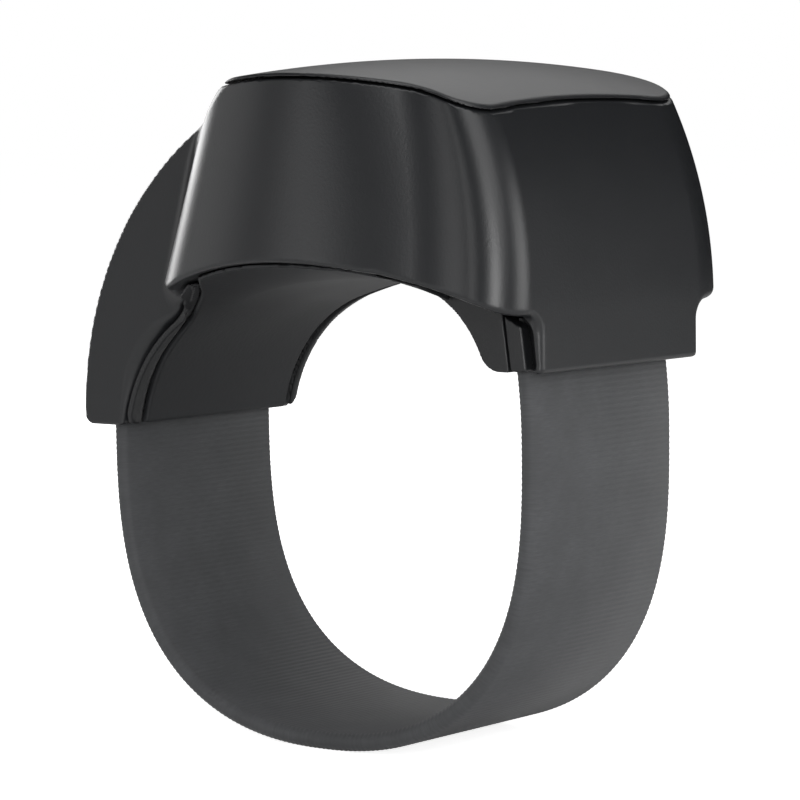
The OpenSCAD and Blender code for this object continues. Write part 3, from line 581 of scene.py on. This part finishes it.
def moulded(name, field, low, high, step, material, node):
    """A moulded piece from its distance field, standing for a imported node."""
    sizes = millimetres()

    def shape(x, y, z):
        return field(x, y, z, sizes)

    points, faces = surface(shape, low, high, step)
    points = settle(shape, points, step)
    mesh = bpy.data.meshes.new(name)
    mesh.from_pydata((points * MM).tolist(), [], faces.tolist())
    piece = bpy.data.objects.new(name, mesh)
    bpy.context.collection.objects.link(piece)
    if len(faces) > FACE_LIMIT:
        thin = piece.modifiers.new("thin", "DECIMATE")
        thin.ratio = FACE_LIMIT / len(faces)
        bpy.context.view_layer.update()
        made = bpy.data.meshes.new_from_object(piece.evaluated_get(bpy.context.evaluated_depsgraph_get()))
        piece.modifiers.clear()
        piece.data = made
        bpy.data.meshes.remove(mesh)
        mesh = made
        mesh.name = name
        points = np.empty(3 * len(mesh.vertices))
        mesh.vertices.foreach_get("co", points)
        points = settle(shape, points.reshape(-1, 3) / MM, 0.2 * step)
        mesh.vertices.foreach_set("co", (points * MM).ravel())
    mesh.validate()
    mesh.shade_smooth()
    slope = gradient(shape, points)
    slope /= np.maximum(np.linalg.norm(slope, axis=1, keepdims=True), 1e-9)
    mesh.normals_split_custom_set_from_vertices(slope.tolist())
    mesh.materials.append(material)
    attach(piece, "click_pad" if node == "click_cap" else "housing")
    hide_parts(node)
    return piece


def millimetres():
    """The user's sizes in millimetres."""
    group = bpy.context.scene.ring_sizes
    return SimpleNamespace(**{key: getattr(group, key) / MM for key in RingSizes.__annotations__})


# Materials

ABS_IOR, SILICONE_IOR, POLYESTER_IOR = 1.53, 1.41, 1.5
# Size of the clouds that a moulding's gloss drifts in, and how far it drifts
CLOUD_MM, GLOSS_DRIFT = 4, 0.03
# Width and length of the yarn's fibres, and size of the clouds in the weave
FIBRE_MM, FIBRE_RUN_MM, WEAVE_CLOUD_MM = 0.06, 0.5, 2


def add_node(tree, kind, settings=None, links=None, **values):
    """Adds a node, sets its properties and its inputs, and links other sockets to its inputs."""
    node = tree.nodes.new(kind)
    for key, value in (settings or {}).items():
        setattr(node, key, value)
    for key, value in values.items():
        node.inputs[key.replace("_", " ")].default_value = value
    for key, socket in (links or {}).items():
        tree.links.new(socket, node.inputs[key])
    return node


def new_material(name):
    material = bpy.data.materials.get(name)
    if material is None:
        material = bpy.data.materials.new(name)
    material.use_nodes = True
    material.node_tree.nodes.clear()
    return material, material.node_tree


def finish_material(tree, shader):
    add_node(tree, "ShaderNodeOutputMaterial", links={"Surface": shader.outputs[0]})


def rgba(colour):
    return (*colour, 1.0)


def moulded_plastic(name, colour, roughness, grain_mm, depth_mm, **shader_values):
    """Injection-moulded plastic: an even dark colour and a fine grain that softens the highlights."""
    material, tree = new_material(name)
    where = add_node(tree, "ShaderNodeTexCoord").outputs["Object"]
    place = {"Vector": where}
    grain = add_node(tree, "ShaderNodeTexNoise", links=place, Scale=1 / (grain_mm * MM), Detail=2.0)
    cloud = add_node(tree, "ShaderNodeTexNoise", links=place, Scale=1 / (CLOUD_MM * MM), Detail=3.0)
    gloss = add_node(
        tree,
        "ShaderNodeMapRange",
        links={"Value": cloud.outputs["Fac"]},
        To_Min=roughness - GLOSS_DRIFT,
        To_Max=roughness + GLOSS_DRIFT,
    )
    shade = add_node(
        tree,
        "ShaderNodeMix",
        {"data_type": "RGBA"},
        {"Factor": grain.outputs["Fac"]},
        A=rgba([0.94 * c for c in colour]),
        B=rgba([1.06 * c for c in colour]),
    )
    height = {"Height": grain.outputs["Fac"]}
    bump = add_node(tree, "ShaderNodeBump", links=height, Strength=0.25, Distance=depth_mm * MM)
    shader = add_node(
        tree,
        "ShaderNodeBsdfPrincipled",
        links={
            "Base Color": shade.outputs["Result"],
            "Roughness": gloss.outputs["Result"],
            "Normal": bump.outputs["Normal"],
        },
        **shader_values,
    )
    finish_material(tree, shader)
    return material


def woven_elastic(colour):
    """Woven polyester elastic: dull yarns across the strap, a faint sheen, and painted shade in the gaps
    between the yarns with painted light on their crowns.
    """
    material, tree = new_material("woven_polyester_elastic")
    along = add_node(tree, "ShaderNodeAttribute", {"attribute_name": "strap_run"}).outputs["Vector"]
    size = (1 / (FIBRE_MM * MM), 1 / (FIBRE_RUN_MM * MM), 1.0)
    fibre = add_node(tree, "ShaderNodeMapping", links={"Vector": along}, Scale=size).outputs["Vector"]
    strand = add_node(tree, "ShaderNodeTexNoise", links={"Vector": fibre}, Scale=1.0, Detail=2.0)
    place = {"Vector": add_node(tree, "ShaderNodeTexCoord").outputs["Object"]}
    cloud = add_node(tree, "ShaderNodeTexNoise", links=place, Scale=1 / (WEAVE_CLOUD_MM * MM), Detail=3.0)
    # The fibres' noise also gives their bump, so this colour is painted shade in the gaps and painted
    # light on the crowns; the weave's clouds vary it at random
    factors = {0: strand.outputs["Fac"], 1: cloud.outputs["Fac"]}
    gap_shade_and_cloud = add_node(tree, "ShaderNodeMath", {"operation": "MULTIPLY"}, factors)
    shade = add_node(
        tree,
        "ShaderNodeMix",
        {"data_type": "RGBA"},
        {"Factor": gap_shade_and_cloud.outputs["Value"]},
        A=rgba([0.72 * c for c in colour]),
        B=rgba([1.7 * c for c in colour]),
    )
    height = {"Height": strand.outputs["Fac"]}
    bump = add_node(tree, "ShaderNodeBump", links=height, Strength=0.35, Distance=0.03 * MM)
    shader = add_node(
        tree,
        "ShaderNodeBsdfPrincipled",
        links={"Base Color": shade.outputs["Result"], "Normal": bump.outputs["Normal"]},
        Roughness=0.72,
        IOR=POLYESTER_IOR,
        Sheen_Weight=0.12,
        Sheen_Roughness=0.5,
    )
    finish_material(tree, shader)
    return material


def plain_finish(name, code, roughness, grain_mm, metallic=0.0):
    """An inner part's finish: its colour varied a little at the size of its grain."""
    material, tree = new_material(name)
    colour = linear(code)
    place = {"Vector": add_node(tree, "ShaderNodeTexCoord").outputs["Object"]}
    grain = add_node(tree, "ShaderNodeTexNoise", links=place, Scale=1 / (grain_mm * MM), Detail=3.0)
    shade = add_node(
        tree,
        "ShaderNodeMix",
        {"data_type": "RGBA"},
        {"Factor": grain.outputs["Fac"]},
        A=rgba([0.85 * c for c in colour]),
        B=rgba([min(1.0, 1.12 * c) for c in colour]),
    )
    shader = add_node(
        tree,
        "ShaderNodeBsdfPrincipled",
        links={"Base Color": shade.outputs["Result"]},
        Roughness=roughness,
        Metallic=metallic,
    )
    finish_material(tree, shader)
    return material


# Finishes of the parts inside: name, colour, roughness, grain in millimetres, metallic, nodes
STEEL_NODES = ("strap_pin", "case_screws", "board_screws", "cap_clips", "crystal")
NICKEL_NODES = ("battery_tabs", "charge_magnets", "motor_case", "motor_cover")
RESIN_NODES = ("radio_chip", "motion_sensor", "charger_chip", "click_switch")
INNER_FINISHES = (
    ("plated_steel", "#b9bbbd", 0.3, 0.3, 1.0, STEEL_NODES),
    ("nickel_plate", "#c4c2bb", 0.25, 0.4, 1.0, NICKEL_NODES),
    ("gold_plate", "#d8b25e", 0.25, 0.3, 1.0, ("charge_contacts",)),
    ("tungsten_alloy", "#8a8680", 0.4, 0.2, 1.0, ("motor_rotor",)),
    ("solder_mask", "#1d5b35", 0.35, 0.8, 0.0, ("main_board",)),
    ("moulded_resin", "#151515", 0.5, 0.15, 0.0, RESIN_NODES),
    ("alumina_ceramic", "#e9e4d6", 0.55, 0.3, 0.0, ("antenna",)),
    ("moulded_nylon", "#e6e6e2", 0.45, 0.4, 0.0, ("switch_plunger", "flex_connector")),
    ("polyimide_film", "#a8621f", 0.3, 1.0, 0.0, ("touch_sensor", "touch_flex")),
    ("cellular_rubber", "#3a3b3d", 0.8, 0.25, 0.0, ("return_buffers", "battery_foam")),
    ("aluminium_laminate", "#c9ccd0", 0.35, 0.6, 1.0, ("battery",)),
)


# The strap

# How far its end wraps round the pin, and how much closer its points lie at the bottom of the loop
WRAP_TURN, LOOP_CROWD = 292, 1.45
# Points that each turn of the ribs is drawn with along the strap
RIB_POINTS = 6.0


def strap_path():
    """The strap's middle line: round its pin, down the wing, round the finger and up the right leg."""
    radius = HALF + WING_C[0]
    half_t = millimetres().strap_thickness / 2
    down = np.linspace(EYE_Z, 0, 24, endpoint=False)
    left = np.stack([WING_C[0] - np.sqrt(radius**2 - (down - WING_C[1]) ** 2), down], 1)
    turn = np.linspace(-1, 1, 161)
    a = np.pi / 2 * (1 - np.abs(turn)) ** LOOP_CROWD
    side = np.sign(turn) * HALF * np.cos(a) ** SIDE_POWER
    loop = np.stack([side, -DROP * np.sin(a) ** FLOOR_POWER], 1)
    up = np.linspace(0, STRAP_TOP, 24)[1:]
    right = np.stack([HALF - LEAN * up**2, up], 1)
    outer = np.concatenate([left, loop, right])
    run = np.gradient(outer, axis=0)
    run /= np.linalg.norm(run, axis=1, keepdims=True)
    inward = np.stack([-run[:, 1], run[:, 0]], 1)
    middle = outer + half_t * inward
    eye = middle[0] + (PIN_R + half_t) * inward[0]
    away = middle[0] - eye
    turns = np.radians(np.linspace(-WRAP_TURN, 0, 40, endpoint=False))
    c, s = np.cos(turns), np.sin(turns)
    wrap = eye + np.stack([c * away[0] - s * away[1], s * away[0] + c * away[1]], 1)
    return np.concatenate([wrap, middle])


def strap_nodes(material):
    """Node tree that sweeps a rounded band along a line and presses cross ribs into it."""
    tree = bpy.data.node_groups.new("ribbed_strap", "GeometryNodeTree")
    face = tree.interface
    face.new_socket("Line", in_out="INPUT", socket_type="NodeSocketGeometry")
    for name in ("Width", "Thickness", "Edge Rounding", "Rib Pitch", "Rib Height"):
        face.new_socket(name, in_out="INPUT", socket_type="NodeSocketFloat")
    face.new_socket("Strap", in_out="OUTPUT", socket_type="NodeSocketGeometry")
    given = add_node(tree, "NodeGroupInput").outputs
    line = add_node(tree, "GeometryNodeMeshToCurve", links={"Mesh": given["Line"]})
    step = add_node(tree, "ShaderNodeMath", {"operation": "DIVIDE"}, {0: given["Rib Pitch"]})
    step.inputs[1].default_value = RIB_POINTS
    links = {"Curve": line.outputs[0], "Length": step.outputs[0]}
    fine = add_node(tree, "GeometryNodeResampleCurve", {"mode": "LENGTH"}, links)
    upright = add_node(tree, "GeometryNodeSetCurveNormal", {"mode": "FREE"}, {"Curve": fine.outputs[0]})
    upright.inputs["Normal"].default_value = (0.0, 1.0, 0.0)
    run = add_node(tree, "GeometryNodeSplineParameter").outputs["Length"]
    kept = tree.nodes.new("GeometryNodeCaptureAttribute")
    kept.capture_items.new("FLOAT", "Run")
    tree.links.new(upright.outputs[0], kept.inputs["Geometry"])
    tree.links.new(run, kept.inputs["Run"])
    links = {"Width": given["Width"], "Height": given["Thickness"]}
    band = add_node(tree, "GeometryNodeCurvePrimitiveQuadrilateral", links=links)
    links = {"Curve": band.outputs[0], "Radius": given["Edge Rounding"]}
    soft = add_node(tree, "GeometryNodeFilletCurve", {"mode": "BEZIER"}, links)
    links = {"Curve": kept.outputs["Geometry"], "Profile Curve": soft.outputs[0]}
    swept = add_node(tree, "GeometryNodeCurveToMesh", links=links)
    swept.inputs["Fill Caps"].default_value = True
    links = {0: kept.outputs["Run"], 1: given["Rib Pitch"]}
    phase = add_node(tree, "ShaderNodeMath", {"operation": "DIVIDE"}, links)
    angle = add_node(tree, "ShaderNodeMath", {"operation": "MULTIPLY"}, {0: phase.outputs[0]})
    angle.inputs[1].default_value = 2 * math.pi
    wave = add_node(tree, "ShaderNodeMath", {"operation": "COSINE"}, {0: angle.outputs[0]})
    sunk = add_node(tree, "ShaderNodeMath", {"operation": "MULTIPLY_ADD"}, {0: wave.outputs[0]})
    sunk.inputs[1].default_value, sunk.inputs[2].default_value = 0.5, -0.5
    links = {0: sunk.outputs[0], 1: given["Rib Height"]}
    depth = add_node(tree, "ShaderNodeMath", {"operation": "MULTIPLY"}, links)
    facing = add_node(tree, "GeometryNodeInputNormal").outputs[0]
    lean = add_node(tree, "ShaderNodeSeparateXYZ", links={"Vector": facing})
    links = {0: lean.outputs["Y"], 1: lean.outputs["Y"]}
    square = add_node(tree, "ShaderNodeMath", {"operation": "MULTIPLY"}, links)
    flat = add_node(tree, "ShaderNodeMath", {"operation": "SUBTRACT"}, {1: square.outputs[0]})
    flat.inputs[0].default_value = 1.0
    links = {0: depth.outputs[0], 1: flat.outputs[0]}
    press = add_node(tree, "ShaderNodeMath", {"operation": "MULTIPLY"}, links)
    links = {0: facing, "Scale": press.outputs[0]}
    push = add_node(tree, "ShaderNodeVectorMath", {"operation": "SCALE"}, links)
    links = {"Geometry": swept.outputs[0], "Offset": push.outputs[0]}
    ribbed = add_node(tree, "GeometryNodeSetPosition", links=links)
    place = add_node(tree, "GeometryNodeInputPosition").outputs[0]
    spot = add_node(tree, "ShaderNodeSeparateXYZ", links={"Vector": place})
    links = {"X": kept.outputs["Run"], "Y": spot.outputs["Y"]}
    pair = add_node(tree, "ShaderNodeCombineXYZ", links=links)
    mapped = add_node(
        tree,
        "GeometryNodeStoreNamedAttribute",
        {"data_type": "FLOAT_VECTOR", "domain": "POINT"},
        {"Geometry": ribbed.outputs[0], "Value": pair.outputs[0]},
    )
    mapped.inputs["Name"].default_value = "strap_run"
    smooth = add_node(tree, "GeometryNodeSetShadeSmooth", links={"Geometry": mapped.outputs[0]})
    real = add_node(tree, "GeometryNodeRealizeInstances", links={"Geometry": smooth.outputs[0]})
    painted = add_node(tree, "GeometryNodeSetMaterial", links={"Geometry": real.outputs[0]})
    painted.inputs["Material"].default_value = material
    add_node(tree, "NodeGroupOutput", links={"Strap": painted.outputs[0]})
    return tree


# Operators


class RING_OT_outer_shell(bpy.types.Operator):
    """Builds the moulded shell: the pod, the wing and both legs"""

    bl_idname = "ring.outer_shell"
    bl_label = "Outer Shell"

    def execute(self, context):
        colour = context.scene.ring_colours.shell
        material = moulded_plastic("satin_black_abs", colour, 0.36, 0.12, 0.02, IOR=ABS_IOR)
        low, high = (-13.6, -11.4, -0.6), (13.4, 10.8, 16.6)
        moulded("shell_moulding", outer_shell, low, high, 0.15, material, "outer_shell")
        return {"FINISHED"}


class RING_OT_click_cap(bpy.types.Operator):
    """Builds the domed click cap with its thin rim and guide posts"""

    bl_idname = "ring.click_cap"
    bl_label = "Click Cap"

    def execute(self, context):
        colour = context.scene.ring_colours.shell
        material = moulded_plastic("satin_black_abs_cap", colour, 0.4, 0.12, 0.02, IOR=ABS_IOR)
        low, high = (-6.4, -10.8, 11.9), (12.8, 10.8, 16.6)
        moulded("cap_moulding", click_cap, low, high, 0.11, material, "click_cap")
        return {"FINISHED"}


class RING_OT_inner_cover(bpy.types.Operator):
    """Builds the inner cover round the finger opening and the strap cover in the right leg"""

    bl_idname = "ring.inner_cover"
    bl_label = "Inner Cover"

    def execute(self, context):
        colour = context.scene.ring_colours.cover
        material = moulded_plastic("matte_black_abs", colour, 0.45, 0.15, 0.03, IOR=ABS_IOR)
        low, high = (-11.8, -10.8, -0.6), (12.8, 10.8, 9.0)
        moulded("cover_moulding", inner_cover, low, high, 0.13, material, "inner_cover")
        low, high = (4.9, -6.4, 2.6), (11.8, 6.4, 7.8)
        moulded("strap_cover_moulding", strap_cover, low, high, 0.1, material, "strap_cover")
        return {"FINISHED"}


class RING_OT_finger_pad(bpy.types.Operator):
    """Builds the silicone pad that lines the finger opening"""

    bl_idname = "ring.finger_pad"
    bl_label = "Finger Pad"

    def execute(self, context):
        colour = context.scene.ring_colours.pad
        material = moulded_plastic("soft_touch_silicone", colour, 0.55, 0.2, 0.03, IOR=SILICONE_IOR)
        low, high = (-11.4, -10.4, -0.6), (9.4, 10.0, 8.2)
        moulded("pad_moulding", finger_pad, low, high, 0.12, material, "finger_pad")
        return {"FINISHED"}


class RING_OT_elastic_strap(bpy.types.Operator):
    """Weaves the elastic strap along its line, with ribs across it"""

    bl_idname = "ring.elastic_strap"
    bl_label = "Elastic Strap"

    def execute(self, context):
        sizes = context.scene.ring_sizes
        material = woven_elastic(context.scene.ring_colours.yarn)
        path = strap_path() * MM
        line = bpy.data.meshes.new("strap_line")
        line.from_pydata([(x, 0, z) for x, z in path], [(i, i + 1) for i in range(len(path) - 1)], [])
        maker = bpy.data.objects.new("strap_line", line)
        context.collection.objects.link(maker)
        tree = strap_nodes(material)
        modifier = maker.modifiers.new("strap", "NODES")
        modifier.node_group = tree
        values = {
            "Width": sizes.strap_width,
            "Thickness": sizes.strap_thickness,
            "Edge Rounding": STRAP_EDGE * MM,
            "Rib Pitch": sizes.rib_pitch,
            "Rib Height": sizes.rib_height,
        }
        for item in tree.interface.items_tree:
            if item.name in values:
                modifier[item.identifier] = values[item.name]
        context.view_layer.update()
        made = maker.evaluated_get(context.evaluated_depsgraph_get())
        mesh = bpy.data.meshes.new_from_object(made)
        maker.modifiers.clear()
        bpy.data.objects.remove(maker)
        if len(mesh.polygons) < 1000:
            raise RuntimeError("the strap was not swept")
        mesh.name = "strap_weave"
        strap = bpy.data.objects.new("strap_weave", mesh)
        context.collection.objects.link(strap)
        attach(strap, "housing")
        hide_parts("elastic_strap")
        return {"FINISHED"}


class RING_OT_inner_parts(bpy.types.Operator):
    """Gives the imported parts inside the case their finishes"""

    bl_idname = "ring.inner_parts"
    bl_label = "Inner Parts"

    def execute(self, context):
        for name, code, roughness, grain, metallic, nodes in INNER_FINISHES:
            material = plain_finish(name, code, roughness, grain, metallic)
            for node in nodes:
                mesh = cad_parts[node].data
                mesh.materials.clear()
                mesh.materials.append(material)
        return {"FINISHED"}


class RING_OT_stage(bpy.types.Operator):
    """Sets up the pale floor, the soft lamps, the white surroundings and the camera"""

    bl_idname = "ring.stage"
    bl_label = "Stage"

    def execute(self, context):
        build_floor(context)
        build_world(context)
        build_lamps(context)
        build_camera(context)
        context.scene.view_settings.view_transform = "Standard"
        return {"FINISHED"}


# The floor: half its width in metres, how far it lies under the strap, and the size of its clouds
FLOOR_HALF, FLOOR_UNDER_MM, FLOOR_CLOUD_MM = 1.5, 0.02, 300
# Its glow for the camera, dimmer near the object: from and to which distance, and how bright there
GLOW_NEAR_MM, GLOW_FAR_MM, GLOW_NEAR, GLOW_FAR = 30, 120, 0.85, 1.0


def build_floor(context):
    """A pale floor that the camera sees as white, with the shadow on it."""
    material, tree = new_material("painted_studio_floor")
    path = add_node(tree, "ShaderNodeLightPath").outputs
    where = add_node(tree, "ShaderNodeTexCoord").outputs["Object"]
    cloud = add_node(tree, "ShaderNodeTexNoise", links={"Vector": where}, Scale=1 / (FLOOR_CLOUD_MM * MM))
    colour = context.scene.ring_colours.floor
    shade = add_node(
        tree,
        "ShaderNodeMix",
        {"data_type": "RGBA"},
        {"Factor": cloud.outputs["Fac"]},
        A=rgba([0.98 * c for c in colour]),
        B=rgba(colour),
    )
    paint_coat = add_node(tree, "ShaderNodeBsdfDiffuse", links={"Color": shade.outputs["Result"]})
    away = add_node(tree, "ShaderNodeVectorMath", {"operation": "LENGTH"}, {0: where}).outputs["Value"]
    bright = add_node(
        tree,
        "ShaderNodeMapRange",
        links={"Value": away},
        From_Min=GLOW_NEAR_MM * MM,
        From_Max=GLOW_FAR_MM * MM,
        To_Min=GLOW_NEAR,
        To_Max=GLOW_FAR,
    )
    links = {0: path["Is Camera Ray"], 1: bright.outputs["Result"]}
    level = add_node(tree, "ShaderNodeMath", {"operation": "MULTIPLY"}, links)
    glow = add_node(tree, "ShaderNodeEmission", links={"Strength": level.outputs[0]}, Color=(1, 1, 1, 1))
    sum_up = add_node(tree, "ShaderNodeAddShader", links={0: paint_coat.outputs[0], 1: glow.outputs[0]})
    finish_material(tree, sum_up)
    mesh = bpy.data.meshes.new("floor")
    z, r = cad_box[0][2] - FLOOR_UNDER_MM * MM, FLOOR_HALF
    mesh.from_pydata([(-r, -r, z), (r, -r, z), (r, r, z), (-r, r, z)], [], [(0, 1, 2, 3)])
    mesh.materials.append(material)
    floor = bpy.data.objects.new("floor", mesh)
    context.collection.objects.link(floor)


def build_world(context):
    """White surroundings for the camera; the light on the object comes from the lamps."""
    world = bpy.data.worlds.new("white_studio")
    world.use_nodes = True
    tree = world.node_tree
    tree.nodes.clear()
    path = add_node(tree, "ShaderNodeLightPath").outputs
    links = {"Strength": path["Is Camera Ray"]}
    light = add_node(tree, "ShaderNodeBackground", links=links, Color=(1, 1, 1, 1))
    add_node(tree, "ShaderNodeOutputWorld", links={"Surface": light.outputs[0]})
    context.scene.world = world


# Soft lamps: name, heading and rise in degrees, width of the square panel in millimetres, radiance.
# All are LAMP_FAR from a point AIM_Z over the origin, and face it.
LAMP_FAR, AIM_Z = 220, 2
LAMPS = (
    ("rim_panel", -110, 10, 90, 5.0),
    ("left_panel", -65, 10, 120, 1.0),
    ("front_panel", -20, 10, 90, 2.0),
    ("key_panel", 40, 10, 80, 9.0),
    ("side_panel", 110, 10, 130, 3.5),
    ("back_panel", -150, 40, 130, 1.2),
    ("high_panel", 50, 40, 160, 2.0),
    ("top_panel", 40, 80, 160, 2.0),
)


def build_lamps(context):
    """Square panels that give the light on the object."""
    for name, turn, rise, wide, radiance in LAMPS:
        lamp = bpy.data.lights.new(name, "AREA")
        lamp.shape, lamp.size = "SQUARE", wide * MM
        lamp.energy = math.pi * radiance * (wide * MM) ** 2
        spot = bpy.data.objects.new(name, lamp)
        rise = math.radians(rise)
        out = heading(turn) * LAMP_FAR * math.cos(rise) * MM
        spot.location = (out[0], out[1], (AIM_Z + LAMP_FAR * math.sin(rise)) * MM)
        aim = Vector((0, 0, AIM_Z * MM)) - spot.location
        spot.rotation_euler = aim.to_track_quat("-Z", "Y").to_euler()
        spot.visible_camera = False
        context.collection.objects.link(spot)


# The camera: azimuth, elevation and roll in degrees, eye, focal length and sensor in millimetres
VIEW_TURN, VIEW_RISE, VIEW_ROLL = 38.187, 4.796, 0.731
VIEW_EYE, VIEW_LENS, VIEW_SENSOR = (97.98, -123.56, 14.196), 157.6, 36.0


def build_camera(context):
    """The camera that sees the object as the photograph does."""
    data = bpy.data.cameras.new("camera")
    data.lens, data.sensor_width = VIEW_LENS, VIEW_SENSOR
    data.clip_start, data.clip_end = 0.01, 10.0
    camera = bpy.data.objects.new("camera", data)
    a, e, r = (math.radians(v) for v in (VIEW_TURN, VIEW_RISE, VIEW_ROLL))
    right = Vector((math.cos(a), math.sin(a), 0))
    up = Vector((-math.sin(a) * math.sin(e), math.cos(a) * math.sin(e), math.cos(e)))
    back = Vector((math.sin(a) * math.cos(e), -math.cos(a) * math.cos(e), math.sin(e)))
    right, up = right * math.cos(r) - up * math.sin(r), right * math.sin(r) + up * math.cos(r)
    turn = Matrix((right, up, back)).transposed().to_4x4()
    camera.matrix_world = Matrix.Translation(Vector(VIEW_EYE) * MM) @ turn
    context.collection.objects.link(camera)
    context.scene.camera = camera


class RING_PT_panel(bpy.types.Panel):
    """Lists the controller's sizes, colours and building steps"""

    bl_label = "Ring Controller"
    bl_idname = "RING_PT_panel"
    bl_space_type = "VIEW_3D"
    bl_region_type = "UI"
    bl_category = "Ring"

    def draw(self, context):
        for group in (context.scene.ring_sizes, context.scene.ring_colours):
            column = self.layout.column(align=True)
            for key in type(group).__annotations__:
                column.prop(group, key)
        for step in STEPS:
            self.layout.operator(step.bl_idname)


STEPS = (
    RING_OT_stage,
    RING_OT_outer_shell,
    RING_OT_click_cap,
    RING_OT_inner_cover,
    RING_OT_finger_pad,
    RING_OT_elastic_strap,
    RING_OT_inner_parts,
)
CLASSES = (RingSizes, RingColours, *STEPS, RING_PT_panel)


def register():
    for cls in CLASSES:
        bpy.utils.register_class(cls)
    bpy.types.Scene.ring_sizes = PointerProperty(type=RingSizes)
    bpy.types.Scene.ring_colours = PointerProperty(type=RingColours)


def unregister():
    del bpy.types.Scene.ring_colours
    del bpy.types.Scene.ring_sizes
    for cls in reversed(CLASSES):
        bpy.utils.unregister_class(cls)


def main():
    register()
    bpy.ops.ring.stage()
    bpy.ops.ring.outer_shell()
    bpy.ops.ring.click_cap()
    bpy.ops.ring.inner_cover()
    bpy.ops.ring.finger_pad()
    bpy.ops.ring.elastic_strap()
    bpy.ops.ring.inner_parts()


if __name__ == "__main__":
    main()
